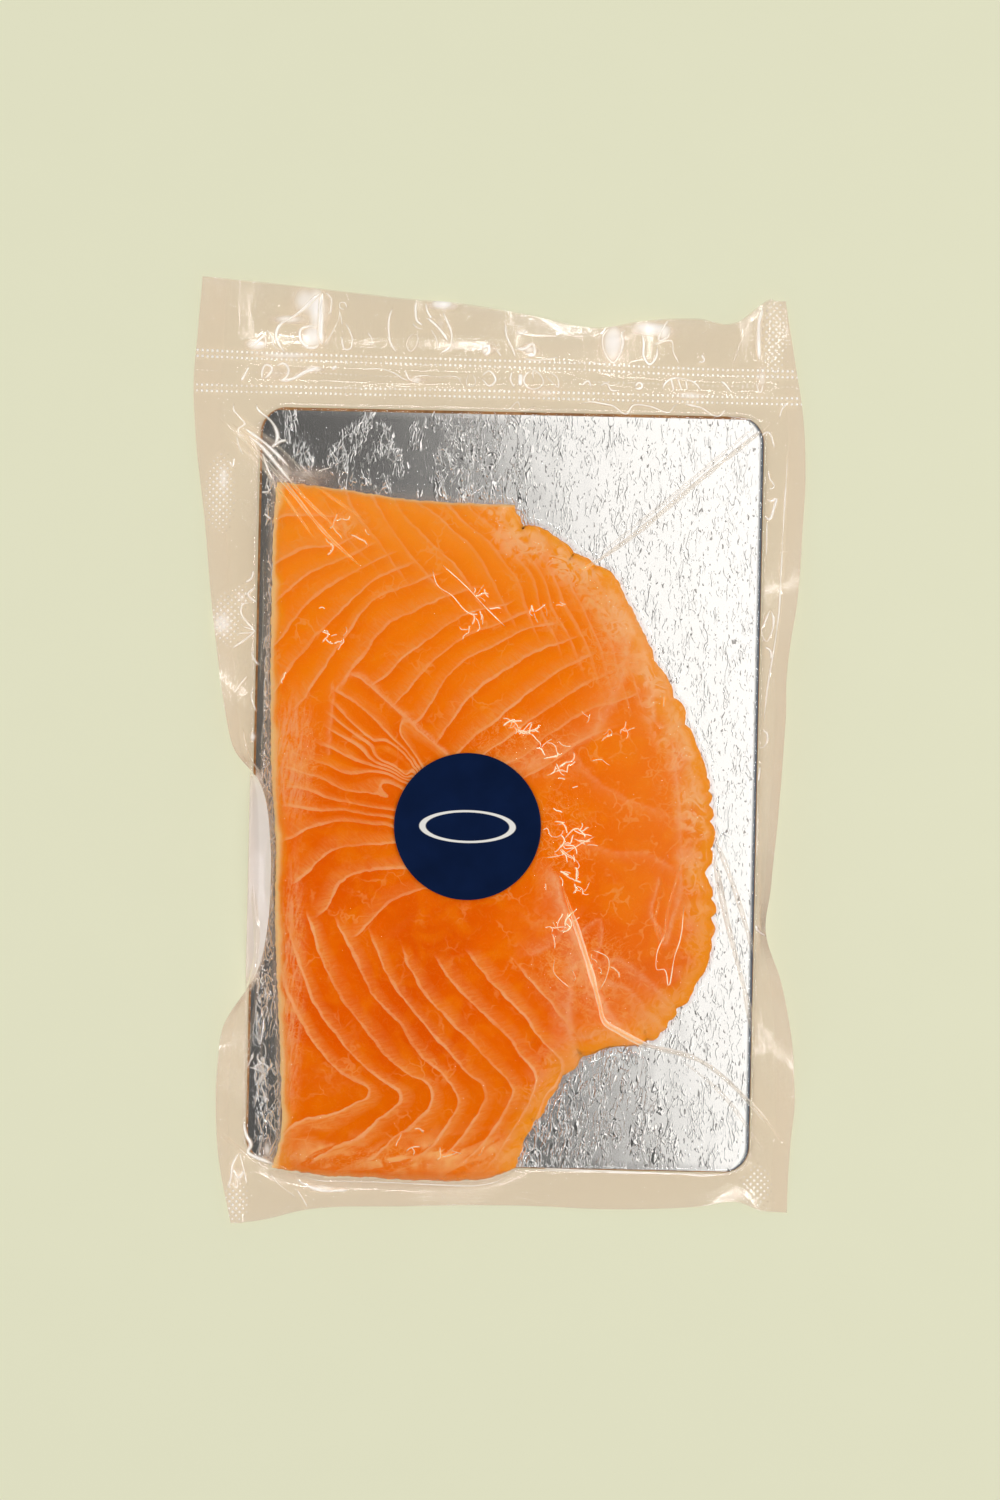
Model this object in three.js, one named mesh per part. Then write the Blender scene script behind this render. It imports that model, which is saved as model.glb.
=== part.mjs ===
// A vacuum pack of sliced smoked salmon, lying flat with its front up.
//
// Six solids lie on each other: the pouch's back film, a card board, the foil laminated on the board,
// the salmon, the pouch's front film drawn down over all of that, and a round paper label on the film.
// The two films meet round the board as a wavy border, which folds up at the waist on either side.
//
// Millimetres, +Z up. The origin is on the table under the middle of the pouch; +Y runs to its mouth.
import * as THREE from 'three';

// ---------------------------------------------------------------- driving dimensions

const CONTACT_GAP = 0.3; // left between two faces that touch in the real pack

const BOARD = { width: 152.4, length: 228.6, corner: 8, card: 0.9, foil: 0.2, centre: [3.5, -9.9] };
const FILM = { thickness: 0.4, foldRadius: 1.8 };
const SALMON = { height: 10.4, wall: 1.2 };
const CORNER_SPREAD = 12; // how far the border goes on past the board's corners
const LABEL = { diameter: 44, thickness: 0.25, centre: [-7.6, -21.1] };

// The border's cut edges. On the long sides it has a true width and an angle, in degrees, at which it
// folds up from the table; at the mouth and the base it has a reach beyond the board and a lift.
// Each border starts at a foot, and the film over the board ends at a brow, both past the board's edge.
const BROW = { sides: 0.7, mouth: 0.7, base: 4.8 };
const FOOT = { sides: 2, mouth: 2, base: 7 };
//                     y    width  fold
const LEFT_BORDER = [[-143,   3.8,   0], [-124,   8.0,   6], [-104,   9.4,  10], [ -84,  8.6,  30],
                     [ -70,   8.4,  70], [ -50,   8.6,  95], [ -22,  10.0,  95], [  -4,  9.6,  75],
                     [  10,  10.0,  35], [  28,  12.0,  15], [  60,  15.6,   4], [ 112,  20.6,   0],
                     [ 143,  18.6,   0]];
const RIGHT_BORDER = [[-136, 11.8,   0], [-102,  13.6,   4], [ -78,  12.0,  25], [ -62,  9.4,  50],
                      [ -47,  8.2,  70], [ -20,   8.0,  48], [  12,   9.2,  36], [  40, 11.2,  22],
                      [  80, 13.0,  10], [ 112,  10.4,   8], [ 140,   5.6,   6]];
//                     x    reach  lift
const MOUTH_BORDER = [[ -91, 38.8,   2], [ -60,  36.0,   5], [ -31,  33.6,   1], [   0, 29.6,   6],
                      [  26, 24.8,   9], [  50,  28.6,   3], [  70,  28.4,   2], [  79, 34.4,   6],
                      [  88, 33.0,   2]];
const BASE_BORDER = [[ -76, 18.2,   2], [ -58,  14.6,   0], [ -26,  12.3,   1], [  10, 11.5,   0],
                     [  48, 11.6,   1], [  76,   8.6,   3], [  90,  11.9,   0]];

// The salmon's outline, as four sides that meet at its corners.
const SALMON_LEFT = [[-64.6, -125.4], [-62.2, -110], [-63.4, -76], [-65.2, -40], [-67.4, 5],
                     [-67.9, 50], [-67.2, 81.6]];
const SALMON_RIGHT = [[9.0, -124], [14.6, -110], [24.8, -94.6], [35, -87.4], [48.7, -84.6], [60.2, -72],
                      [66.6, -57], [67.4, -45], [64.8, -33.4], [66.9, -26], [65.8, -11], [60.2, 7],
                      [50.6, 26.4], [38.4, 49.6], [26, 61], [6, 71.6], [4.6, 76.2]];
const SALMON_BASE = [[-64.6, -125.4], [-48, -127.4], [-22, -128.2], [0, -127.4], [9.0, -124]];
const SALMON_TOP = [[-67.2, 81.6], [-52, 80.2], [-28, 77.2], [4.6, 76.2]];
const SCALLOP = { depth: 0.8, count: 32 }; // the ragged ends of the slices, on the right side

// ---------------------------------------------------------------- levels and edges worked out from them

const CARD_BASE = FILM.thickness;
const FOIL_BASE = CARD_BASE + BOARD.card;
const FOIL_TOP = FOIL_BASE + BOARD.foil;
const SEAL_LEVEL = FILM.thickness + CONTACT_GAP / 2;
const BOARD_LEFT = BOARD.centre[0] - BOARD.width / 2;
const BOARD_RIGHT = BOARD.centre[0] + BOARD.width / 2;
const BOARD_BASE = BOARD.centre[1] - BOARD.length / 2;
const BOARD_TOP = BOARD.centre[1] + BOARD.length / 2;

// ---------------------------------------------------------------- helpers

// A smooth curve through rows of [place, value, value ...]; it gives the values at any place.
function through(rows) {
  const places = new Float32Array(rows.map((row) => row[0]));
  const values = new Float32Array(rows.flatMap((row) => row.slice(1)));
  const curve = new THREE.CubicInterpolant(places, values, rows[0].length - 1);
  const [first, last] = [places[0], places.at(-1)];
  return (place) => [...curve.evaluate(THREE.MathUtils.clamp(place, first, last))];
}

// A closed solid between two skins of across x along cells: place(i, j, side) gives a skin's point.
// Both skins cut their cells along the same diagonal, so that they stay parallel where they twist.
function mouldedSolid(across, along, place) {
  const points = [];
  const corners = [];
  const corner = (i, j, side) => (i * (along + 1) + j) * 2 + (side === 'upper' ? 1 : 0);
  const quad = (a, b, c, d) => corners.push(a, b, c, a, c, d);
  for (let i = 0; i <= across; i += 1) {
    for (let j = 0; j <= along; j += 1) {
      points.push(place(i, j, 'under'), place(i, j, 'upper'));
    }
  }
  for (let i = 0; i < across; i += 1) {
    for (let j = 0; j < along; j += 1) {
      const round = [[i, j], [i + 1, j], [i + 1, j + 1], [i, j + 1]];
      quad(...round.map(([a, b]) => corner(a, b, 'upper')));
      const [a, b, c, d] = round.map(([m, n]) => corner(m, n, 'under'));
      corners.push(a, c, b, a, d, c);
    }
  }
  const wall = (from, to) => quad(
    corner(...from, 'under'), corner(...to, 'under'), corner(...to, 'upper'), corner(...from, 'upper'),
  );
  for (let i = 0; i < across; i += 1) {
    wall([i, 0], [i + 1, 0]);
    wall([i + 1, along], [i, along]);
  }
  for (let j = 0; j < along; j += 1) {
    wall([across, j], [across, j + 1]);
    wall([0, j + 1], [0, j]);
  }
  const solid = new THREE.BufferGeometry().setFromPoints(points).setIndex(corners);
  solid.computeVertexNormals();
  return solid;
}

function mesh(name, geometry, colour, roughness, metalness = 0) {
  const material = new THREE.MeshStandardMaterial({ color: colour, roughness, metalness });
  const made = new THREE.Mesh(geometry, material);
  made.name = name;
  return made;
}

// ---------------------------------------------------------------- board

function boardOutline() {
  const { width, length, corner } = BOARD;
  const outline = new THREE.Shape();
  const corners = [[1, -1, -90], [1, 1, 0], [-1, 1, 90], [-1, -1, 180]];
  for (const [sideX, sideY, start] of corners) {
    const from = THREE.MathUtils.degToRad(start);
    const x = sideX * (width / 2 - corner);
    const y = sideY * (length / 2 - corner);
    outline.absarc(x, y, corner, from, from + Math.PI / 2);
  }
  return outline;
}

function boardLayer(name, base, thickness, colour, roughness, metalness) {
  const slab = new THREE.ExtrudeGeometry(boardOutline(), {
    depth: thickness, bevelEnabled: false, curveSegments: 6,
  });
  const layer = mesh(name, slab, colour, roughness, metalness);
  layer.position.set(...BOARD.centre, base);
  return layer;
}

// ---------------------------------------------------------------- salmon

function sideCurve(points) {
  return new THREE.CatmullRomCurve3(points.map(([x, y]) => new THREE.Vector3(x, y, 0)), false, 'centripetal');
}

const leftSide = sideCurve(SALMON_LEFT);
const rightSide = sideCurve(SALMON_RIGHT);
const baseSide = sideCurve(SALMON_BASE);
const topSide = sideCurve(SALMON_TOP);

// The right side with its scallops, which fade out towards its two corners.
function raggedSide(v) {
  const point = rightSide.getPointAt(v);
  const outward = rightSide.getTangentAt(v).cross(new THREE.Vector3(0, 0, 1));
  const depth = SCALLOP.depth * Math.cos(2 * Math.PI * SCALLOP.count * v) * Math.sin(Math.PI * v);
  return point.addScaledVector(outward, depth);
}

// A point of the salmon's plan, with u from left to right and v from base to top: a Coons patch.
function salmonPlan(u, v) {
  const across = leftSide.getPointAt(v).lerp(raggedSide(v), u);
  const along = baseSide.getPointAt(u).lerp(topSide.getPointAt(u), v);
  const low = baseSide.getPointAt(0).lerp(baseSide.getPointAt(1), u);
  const high = topSide.getPointAt(0).lerp(topSide.getPointAt(1), u);
  return across.add(along).sub(low.lerp(high, v));
}

// How far a rounded edge has risen, from 0 at the edge to 1 at its radius.
function rounded(distance, radius) {
  const inward = 1 - Math.min(Math.max(distance / radius, 0), 1);
  return Math.sqrt(1 - inward * inward);
}

// The stack is thickest left of the middle, and thins out to the belly side on the right.
function stackHeight(x, y) {
  const belly = THREE.MathUtils.clamp((x + 25) / 95, 0, 1);
  return SALMON.height * (1 - 0.34 * belly * belly - 0.1 * (y / 105) ** 2);
}

const WIDE = 132; // about the salmon's width and length, which turn u and v into distances
const LONG = 205;
const EDGE_RADIUS = { left: 4, right: 15, base: 8, top: 5 };

function salmonTop(u, v, x, y) {
  const rim = rounded(u * WIDE, EDGE_RADIUS.left) * rounded((1 - u) * WIDE, EDGE_RADIUS.right)
    * rounded(v * LONG, EDGE_RADIUS.base) * rounded((1 - v) * LONG, EDGE_RADIUS.top);
  return FOIL_TOP + SALMON.wall + (stackHeight(x, y) - SALMON.wall) * rim;
}

const SALMON_CELLS = [12, 2 * SCALLOP.count];

// The columns are closer together near the two sides, where the surface bends most.
function salmonPoint(i, j, side) {
  const u = (1 - Math.cos((Math.PI * i) / SALMON_CELLS[0])) / 2;
  const v = j / SALMON_CELLS[1];
  const point = salmonPlan(u, v);
  point.z = side === 'upper' ? salmonTop(u, v, point.x, point.y) : FOIL_TOP;
  return point;
}

function salmon() {
  return mesh('salmon', mouldedSolid(...SALMON_CELLS, salmonPoint), 0xe8761f, 0.35);
}

// Points all over the salmon's top, which the front film has to clear.
const SPOT_CELLS = [60, 90];
const salmonSpots = [];
for (let i = 0; i <= SPOT_CELLS[0]; i += 1) {
  for (let j = 0; j <= SPOT_CELLS[1]; j += 1) {
    const [u, v] = [i / SPOT_CELLS[0], j / SPOT_CELLS[1]];
    const spot = salmonPlan(u, v);
    spot.z = salmonTop(u, v, spot.x, spot.y);
    salmonSpots.push(spot);
  }
}

// ---------------------------------------------------------------- films

const leftBorder = through(LEFT_BORDER);
const rightBorder = through(RIGHT_BORDER);
const mouthBorder = through(MOUTH_BORDER);
const baseBorder = through(BASE_BORDER);

// How far out and up a border has come after a run along it, where it folds up at its root.
function foldedRun(run, degrees) {
  const fold = THREE.MathUtils.degToRad(degrees);
  const arc = Math.min(run, FILM.foldRadius * fold);
  const turned = arc / FILM.foldRadius;
  return [
    FILM.foldRadius * Math.sin(turned) + (run - arc) * Math.cos(fold),
    FILM.foldRadius * (1 - Math.cos(turned)) + (run - arc) * Math.sin(fold),
  ];
}

// The stations across or along a film. Over the board they are evenly spaced; past its end they are
// at shares of the border's own run.
function stations(low, cells, high) {
  const border = (edge, end) => SHARES[edge].map((share) => (
    { end, at: Math.max(end, 0), past: FOOT[edge], share, onBorder: true }
  ));
  const over = Array.from({ length: cells + 1 }, (_, n) => {
    const end = Number(n === cells) - Number(n === 0);
    return { end, at: n / cells, past: BROW[end > 0 ? high : low], share: 0, onBorder: false };
  });
  return [...border(low, -1).reverse(), ...over, ...border(high, 1)];
}

const SHARES = { sides: [0, 0.18, 0.4, 0.7, 1], mouth: [0, 0.2, 0.45, 0.7, 1], base: [0, 0.5, 1] };
const DRAPE_CELLS = [12, 20];
const COLUMNS = stations('sides', DRAPE_CELLS[0], 'sides');
const ROWS = stations('base', DRAPE_CELLS[1], 'mouth');

// The surface between the two films: level under the board, wavy and folded up where they are sealed.
function sealPoint(column, row) {
  const x = THREE.MathUtils.lerp(BOARD_LEFT, BOARD_RIGHT, column.at) + column.end * column.past;
  const y = THREE.MathUtils.lerp(BOARD_BASE, BOARD_TOP, row.at) + row.end * row.past;
  const [endBorder, foot] = row.end > 0 ? [mouthBorder, FOOT.mouth] : [baseBorder, FOOT.base];
  const [reach, lift] = endBorder(x + column.end * column.share * CORNER_SPREAD);
  const reached = y + row.end * row.share * (reach - foot);
  const sideBorder = column.end > 0 ? rightBorder : leftBorder;
  const [width, fold] = sideBorder(reached);
  const [out, up] = foldedRun(column.share * (width - FOOT.sides), fold);
  return new THREE.Vector3(x + column.end * out, reached, SEAL_LEVEL + lift * row.share ** 2 + up);
}

// A grid of points moved along the normals of its own surface.
function offsetGrid(grid, distance) {
  const near = (i, j) => grid[THREE.MathUtils.clamp(i, 0, grid.length - 1)][
    THREE.MathUtils.clamp(j, 0, grid[0].length - 1)];
  return grid.map((line, i) => line.map((point, j) => {
    const across = near(i + 1, j).clone().sub(near(i - 1, j));
    const along = near(i, j + 1).clone().sub(near(i, j - 1));
    return point.clone().addScaledVector(across.cross(along).normalize(), distance);
  }));
}

function film(name, middle, colour) {
  const skins = {
    upper: offsetGrid(middle, FILM.thickness / 2),
    under: offsetGrid(middle, -FILM.thickness / 2),
  };
  const place = (i, j, side) => skins[side][i][j];
  return mesh(name, mouldedSolid(COLUMNS.length - 1, ROWS.length - 1, place), colour, 0.15);
}

const seal = COLUMNS.map((column) => ROWS.map((row) => sealPoint(column, row)));

function backFilm() {
  return film('back_film', offsetGrid(seal, -(FILM.thickness + CONTACT_GAP) / 2), 0xd9cbb2);
}

// The level of the front film's middle over a place on the board: clear of the highest piece of
// salmon within a cell of the film's grid.
function drapeLevel(x, y) {
  const [reachX, reachY] = [BOARD.width / DRAPE_CELLS[0], BOARD.length / DRAPE_CELLS[1]];
  const near = salmonSpots.filter((spot) => Math.abs(spot.x - x) < reachX && Math.abs(spot.y - y) < reachY);
  const highest = near.reduce((most, spot) => Math.max(most, spot.z), FOIL_TOP);
  return highest + CONTACT_GAP + FILM.thickness / 2;
}

const frontMiddle = offsetGrid(seal, (FILM.thickness + CONTACT_GAP) / 2);
COLUMNS.forEach((column, i) => ROWS.forEach((row, j) => {
  if (!column.onBorder && !row.onBorder) {
    frontMiddle[i][j].z = drapeLevel(seal[i][j].x, seal[i][j].y);
  }
}));

function frontFilm() {
  return film('front_film', frontMiddle, 0xe6dccb);
}

// ---------------------------------------------------------------- label

const LABEL_CELLS = 10;

// The label's under side follows the film's drape. The grid is a square that is rounded to a disc.
function labelPoint(i, j, side) {
  const a = (2 * i) / LABEL_CELLS - 1;
  const b = (2 * j) / LABEL_CELLS - 1;
  const x = LABEL.centre[0] + (LABEL.diameter / 2) * a * Math.sqrt(1 - (b * b) / 2);
  const y = LABEL.centre[1] + (LABEL.diameter / 2) * b * Math.sqrt(1 - (a * a) / 2);
  const base = drapeLevel(x, y) + FILM.thickness / 2 + CONTACT_GAP;
  return new THREE.Vector3(x, y, side === 'upper' ? base + LABEL.thickness : base);
}

function label() {
  return mesh('label', mouldedSolid(LABEL_CELLS, LABEL_CELLS, labelPoint), 0x0b1b3a, 0.4);
}

// ---------------------------------------------------------------- the pack

const pack = new THREE.Group();
pack.add(
  backFilm(),
  boardLayer('board_card', CARD_BASE, BOARD.card, 0xb39a78, 0.8),
  boardLayer('board_foil', FOIL_BASE, BOARD.foil, 0xd4d5d6, 0.3, 1),
  salmon(),
  frontFilm(),
  label(),
);

export default pack;
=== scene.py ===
# %% [markdown]
# # A vacuum pouch of smoked salmon
# The real thing is a thick slice of cold-smoked salmon on a foil-faced card, sealed in a
# clear pouch, with a round paper label stuck on the outside. This lesson builds it in
# Blender around the CAD frame: first the camera and the light, then the tray card, the
# fish, the two webs of film and the label. Each piece is a mesh worked out in Python,
# because the film has to follow the fish below it closely, and only code knows both.

# %% Load the frame
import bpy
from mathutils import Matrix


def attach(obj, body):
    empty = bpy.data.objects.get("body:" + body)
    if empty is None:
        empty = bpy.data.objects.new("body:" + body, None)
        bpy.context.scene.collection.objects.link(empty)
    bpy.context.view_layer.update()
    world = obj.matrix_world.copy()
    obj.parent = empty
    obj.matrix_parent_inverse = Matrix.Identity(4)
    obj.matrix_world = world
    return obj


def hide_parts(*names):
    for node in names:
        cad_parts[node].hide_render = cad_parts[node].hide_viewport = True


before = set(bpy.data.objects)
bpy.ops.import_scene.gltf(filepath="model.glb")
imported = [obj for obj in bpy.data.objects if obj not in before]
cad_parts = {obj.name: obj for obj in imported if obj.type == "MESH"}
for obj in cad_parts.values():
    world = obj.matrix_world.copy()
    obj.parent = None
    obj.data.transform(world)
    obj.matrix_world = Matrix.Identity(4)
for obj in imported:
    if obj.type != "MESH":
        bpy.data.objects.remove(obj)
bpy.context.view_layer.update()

print("CAD nodes:", sorted(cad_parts))

# %% [markdown]
# All lengths in this lesson are millimetres, as on a maker's drawing, and are turned into
# Blender's metres when a mesh is made. numpy works on whole arrays of points at once,
# which keeps grids of a hundred thousand points quick.

# %% Tools and units
import math

import bpy
import numpy as np

MM = 0.001
RANDOM_SEED = 7


def smooth(value, low, high):
    """Rise from 0 to 1 between low and high, level at both ends."""
    t = np.clip((value - low) / (high - low), 0.0, 1.0)
    return t * t * (3.0 - 2.0 * t)


print("One Blender unit is", round(1 / MM), "mm")

# %% [markdown]
# The camera hangs one metre above the pouch and looks straight down. It is turned by a
# degree, because the pack doesn't lie quite square on its table. The focal length follows
# from the size of the card: 152 mm wide at one metre.

# %% Camera
CAMERA_PLACE = (1.73, 2.10, 1000.0)
CAMERA_TURN = 1.21
FOCAL_LENGTH = 79.26

camera_data = bpy.data.cameras.new("overhead_camera")
camera_data.lens = FOCAL_LENGTH
camera = bpy.data.objects.new("overhead_camera", camera_data)
camera.location = [value * MM for value in CAMERA_PLACE]
camera.rotation_euler = (0.0, 0.0, math.radians(CAMERA_TURN))
bpy.context.collection.objects.link(camera)
bpy.context.scene.camera = camera
print("Camera", CAMERA_PLACE, "lens", FOCAL_LENGTH)

# %% [markdown]
# Colours are written as hex codes, as a screen shows them, but light adds up in linear
# values. One function makes that change. One more function adds a shader node, sets its
# properties and fills or links its inputs, in their order or by name. Handed on to another
# node, a node stands for its first output in use, so a material reads as a list of steps.

# %% Colour and nodes
def linear(code):
    """Turn an sRGB hex code such as 'E1630A' into linear red, green, blue and an alpha of 1."""
    channels = []
    for start in (0, 2, 4):
        value = int(code[start:start + 2], 16) / 255.0
        channels.append(value / 12.92 if value <= 0.04045 else ((value + 0.055) / 1.055) ** 2.4)
    return (*channels, 1.0)


def add(kind, inputs=(), **settings):
    """Add a node to the tree in hand. Settings are its properties, and inputs are values,
    nodes or outputs of nodes."""
    node = tree.nodes.new("ShaderNode" + kind)
    for name, value in settings.items():
        setattr(node, name, value)
    sockets = inputs if isinstance(inputs, dict) else dict(enumerate(inputs))
    for socket, value in sockets.items():
        if isinstance(value, bpy.types.Node):
            value = next(output for output in value.outputs if output.enabled)
        if isinstance(value, bpy.types.NodeSocket):
            tree.links.new(value, node.inputs[socket])
        else:
            node.inputs[socket].default_value = value
    return node


def material(name):
    """Start an empty node material and return it with its tree."""
    made = bpy.data.materials.new(name)
    made.use_nodes = True
    made.node_tree.nodes.clear()
    return made, made.node_tree


print("Salmon orange in linear light:", [round(c, 3) for c in linear("E1630A")[:3]])

# %% [markdown]
# A natural surface is made of masks, which say how strongly a vein, a stain or a crease
# shows at each point. Three recipes of a few nodes each make nearly all of them here. One
# multiplies masks, and turns a value into a soft step on the way. One cuts soft-edged
# patches out of noise. One finds fine threads, where noise passes its middle value. A
# fourth adds masks up as bumps. They work in the tree in hand, at its own place, and their
# sizes are in millimetres.

# %% Masks, patches and threads
NOISE_MIDDLE = 0.5


def strength(*parts):
    """How strongly a thing shows: its parts, multiplied. A part is a value, or a soft step
    given as (value, low, high) or as (value, low, high, start, end)."""
    total = None
    for part in parts:
        if isinstance(part, tuple):
            part = add("MapRange", part, interpolation_type="SMOOTHSTEP")
        total = part if total is None else add("Math", [total, part], operation="MULTIPLY")
    return total


def patches(cell, low, high, start=0.0, end=1.0, detail=2.0, wander=0.0, at=None):
    """Patches of noise with soft edges, about one cell, in millimetres, across."""
    noise = add("TexNoise", {"Vector": place if at is None else at, "Scale": 1.0 / (cell * MM),
                             "Detail": detail, "Distortion": wander})
    return strength((noise, low, high, start, end))


def threads(cell, low, high, start=1.0, detail=2.0, wander=0.0, at=None):
    """Fine wandering threads, about one cell, in millimetres, apart."""
    noise = add("TexNoise", {"Vector": place if at is None else at, "Scale": 1.0 / (cell * MM),
                             "Detail": detail, "Distortion": wander})
    centred = add("Math", [noise, NOISE_MIDDLE], operation="SUBTRACT")
    from_middle = add("Math", [centred], operation="ABSOLUTE")
    return strength((from_middle, low, high, start, 0.0))


def stacked_bumps(*layers):
    """Relief of several bumps, one on another; each is its mask, its amount and its height in mm."""
    surface = None
    for mask, amount, height in layers:
        inputs = {"Height": mask, "Strength": amount, "Distance": height * MM}
        if surface is not None:
            inputs["Normal"] = surface
        surface = add("Bump", inputs)
    return surface


print("A pattern of 3 mm cells has a scale of", round(1.0 / (3.0 * MM)), "to the metre")

# %% [markdown]
# The floor is a sheet of pale green studio paper. Some of its colour is given back as a
# faint glow, as on a light table, which keeps it even and takes the weight out of the
# contact shadows.

# %% Studio paper floor
FLOOR_SIZE = 20000.0
PAPER_GREEN = "E1E1C3"
# Faint clouds in the paper along one side of the floor, 22 mm each. The fibres themselves
# are too fine to show.
PAPER_CLOUDS = 900.0

paper, tree = material("studio_paper_uncoated_matte")
grain = add("TexNoise", {"Scale": PAPER_CLOUDS, "Detail": 3.0})
paper_colour = add("Mix", {"Factor": grain, "A": linear("BEBEA5"), "B": linear("C0C0A7")},
                   data_type="RGBA")
matt = add("BsdfPrincipled", {"Base Color": paper_colour, "Roughness": 0.95,
                              "Specular IOR Level": 0.0,
                              "Emission Color": linear(PAPER_GREEN),
                              "Emission Strength": 0.35})
add("OutputMaterial", [matt])

floor_mesh = bpy.data.meshes.new("studio_floor")
half_floor = FLOOR_SIZE / 2 * MM
floor_mesh.from_pydata([(-half_floor, -half_floor, 0), (half_floor, -half_floor, 0),
                        (half_floor, half_floor, 0), (-half_floor, half_floor, 0)], [], [(0, 1, 2, 3)])
floor = bpy.data.objects.new("studio_floor", floor_mesh)
floor.data.materials.append(paper)
bpy.context.collection.objects.link(floor)
print("Floor of", FLOOR_SIZE, "mm")

# %% [markdown]
# Two large soft lamps, left and right of the pouch, light everything evenly and leave no
# hard shadow. They are left out of mirror reflections, which get lamps of their own: foil
# and film answer to light quite differently, and each can then be lit for what it shows.
# The room is dim overhead and bright towards its walls, so that steep folds of film and
# foil seen from the side have something light to mirror.

# %% Studio light
CEILING_GLOW = 0.09
WALL_GLOW = 0.85
# How far up the room, from 0 level to 1 overhead, the walls end and the ceiling begins.
WALLS_END = 0.45
CEILING_STARTS = 0.72
SOFTBOX_SIZE = (1500.0, 700.0)
# Each softbox: its name, its place in mm and how bright it looks.
SOFTBOXES = [
    ("softbox_right", (820.0, 60.0, 1100.0), 2.8),
    ("softbox_left", (-820.0, 0.0, 1100.0), 2.2),
]

world = bpy.data.worlds.new("studio_room")
world.use_nodes = True
tree = world.node_tree
direction = add("TexCoord").outputs["Generated"]
upward = add("SeparateXYZ", [direction]).outputs["Z"]
glow = add("MapRange", [upward, WALLS_END, CEILING_STARTS, WALL_GLOW, CEILING_GLOW],
           interpolation_type="SMOOTHSTEP")
background = tree.nodes["Background"]
tree.links.new(glow.outputs["Result"], background.inputs["Strength"])
background.inputs["Color"].default_value = (1.0, 1.0, 1.0, 1.0)
bpy.context.scene.world = world
bpy.context.scene.view_settings.view_transform = "Standard"


def soft_lamp(name, centre, size, radiance, mirrored=True, turn=None):
    """Hang a rectangular area lamp; radiance is how bright it looks. Without a turn it faces
    the pouch, and with one it hangs level and is turned in plan by that many degrees."""
    data = bpy.data.lights.new(name, "AREA")
    data.shape = "RECTANGLE"
    data.size = size[0] * MM
    data.size_y = size[1] * MM
    data.energy = radiance * math.pi * data.size * data.size_y
    lamp = bpy.data.objects.new(name, data)
    lamp.location = [value * MM for value in centre]
    flat = math.hypot(centre[0], centre[1])
    aim = math.atan2(-centre[1], -centre[0]) - math.pi / 2
    lamp.rotation_euler = (math.atan2(flat, centre[2]), 0.0, aim)
    if turn is not None:
        lamp.rotation_euler = (0.0, 0.0, math.radians(turn))
    lamp.visible_camera = False
    lamp.visible_glossy = mirrored
    bpy.context.collection.objects.link(lamp)
    return lamp


for name, centre, radiance in SOFTBOXES:
    soft_lamp(name, centre, SOFTBOX_SIZE, radiance, mirrored=False)
print("Room from", CEILING_GLOW, "to", WALL_GLOW, "and", len(SOFTBOXES), "softboxes")

# %% [markdown]
# Foil is creased all over, so it mirrors a wide part of the room in every square
# centimetre. A level panel over its right half makes it nearly white there, with a
# slanting edge, and leaves the left half grey. Film is mostly flat, and shows only bright
# lines where it is folded: for it, lamps stand in a wide ring, so that only film tilted
# by about 22 degrees mirrors one. Light linking limits a lamp to one collection of
# objects, so the foil has its panel and the film has its ring.

# %% Lamps for the foil and the film
PANEL_PLACE = (481.0, 119.0, 1200.0)
PANEL_SIZE = (900.0, 1700.0)
PANEL_RADIANCE = 1.25
PANEL_TURN = 11.8
RING_HEIGHT = 1000.0
RING_RADIUS = 950.0
RING_LAMPS = 12
RING_START = 0.3  # of the angle from one lamp to the next
RING_SIZE = (170.0, 500.0)
RING_RADIANCE = 32.0

foil_only = bpy.data.collections.new("lit_by_foil_panel")
foil_panel = soft_lamp("panel_over_foil", PANEL_PLACE, PANEL_SIZE, PANEL_RADIANCE, turn=PANEL_TURN)
foil_panel.light_linking.receiver_collection = foil_only

film_only = bpy.data.collections.new("lit_by_ring")
for index in range(RING_LAMPS):
    azimuth = 360.0 / RING_LAMPS * (index + RING_START)
    ring_x = RING_RADIUS * math.cos(math.radians(azimuth))
    ring_y = RING_RADIUS * math.sin(math.radians(azimuth))
    ring_lamp = soft_lamp("ring_%d" % index, (ring_x, ring_y, RING_HEIGHT), RING_SIZE, RING_RADIANCE,
                          turn=azimuth)
    ring_lamp.visible_diffuse = False
    ring_lamp.light_linking.receiver_collection = film_only
print("Foil panel 1, ring lamps", RING_LAMPS)

# %% [markdown]
# Several pieces are grids of points: rows and columns with a place each. This helper turns
# such a grid into a mesh, and stores extra numbers on its points. Such stored numbers are
# called attributes, and a material can read them, which is how a shape tells its material
# where the fat lines or the seals are.

# %% From grids to meshes
LATTICE = 256  # random values each way, before the noise repeats
FAR_CELL = 1000.0  # added so that the numbers of the cells are never below 0


def grid_faces(rows, columns, first=0):
    """Corner numbers of every quad of a grid."""
    numbers = np.arange(rows * columns).reshape(rows, columns) + first
    corners = [numbers[:-1, :-1], numbers[:-1, 1:], numbers[1:, 1:], numbers[1:, :-1]]
    return np.stack(corners, axis=-1).reshape(-1, 4)


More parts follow.
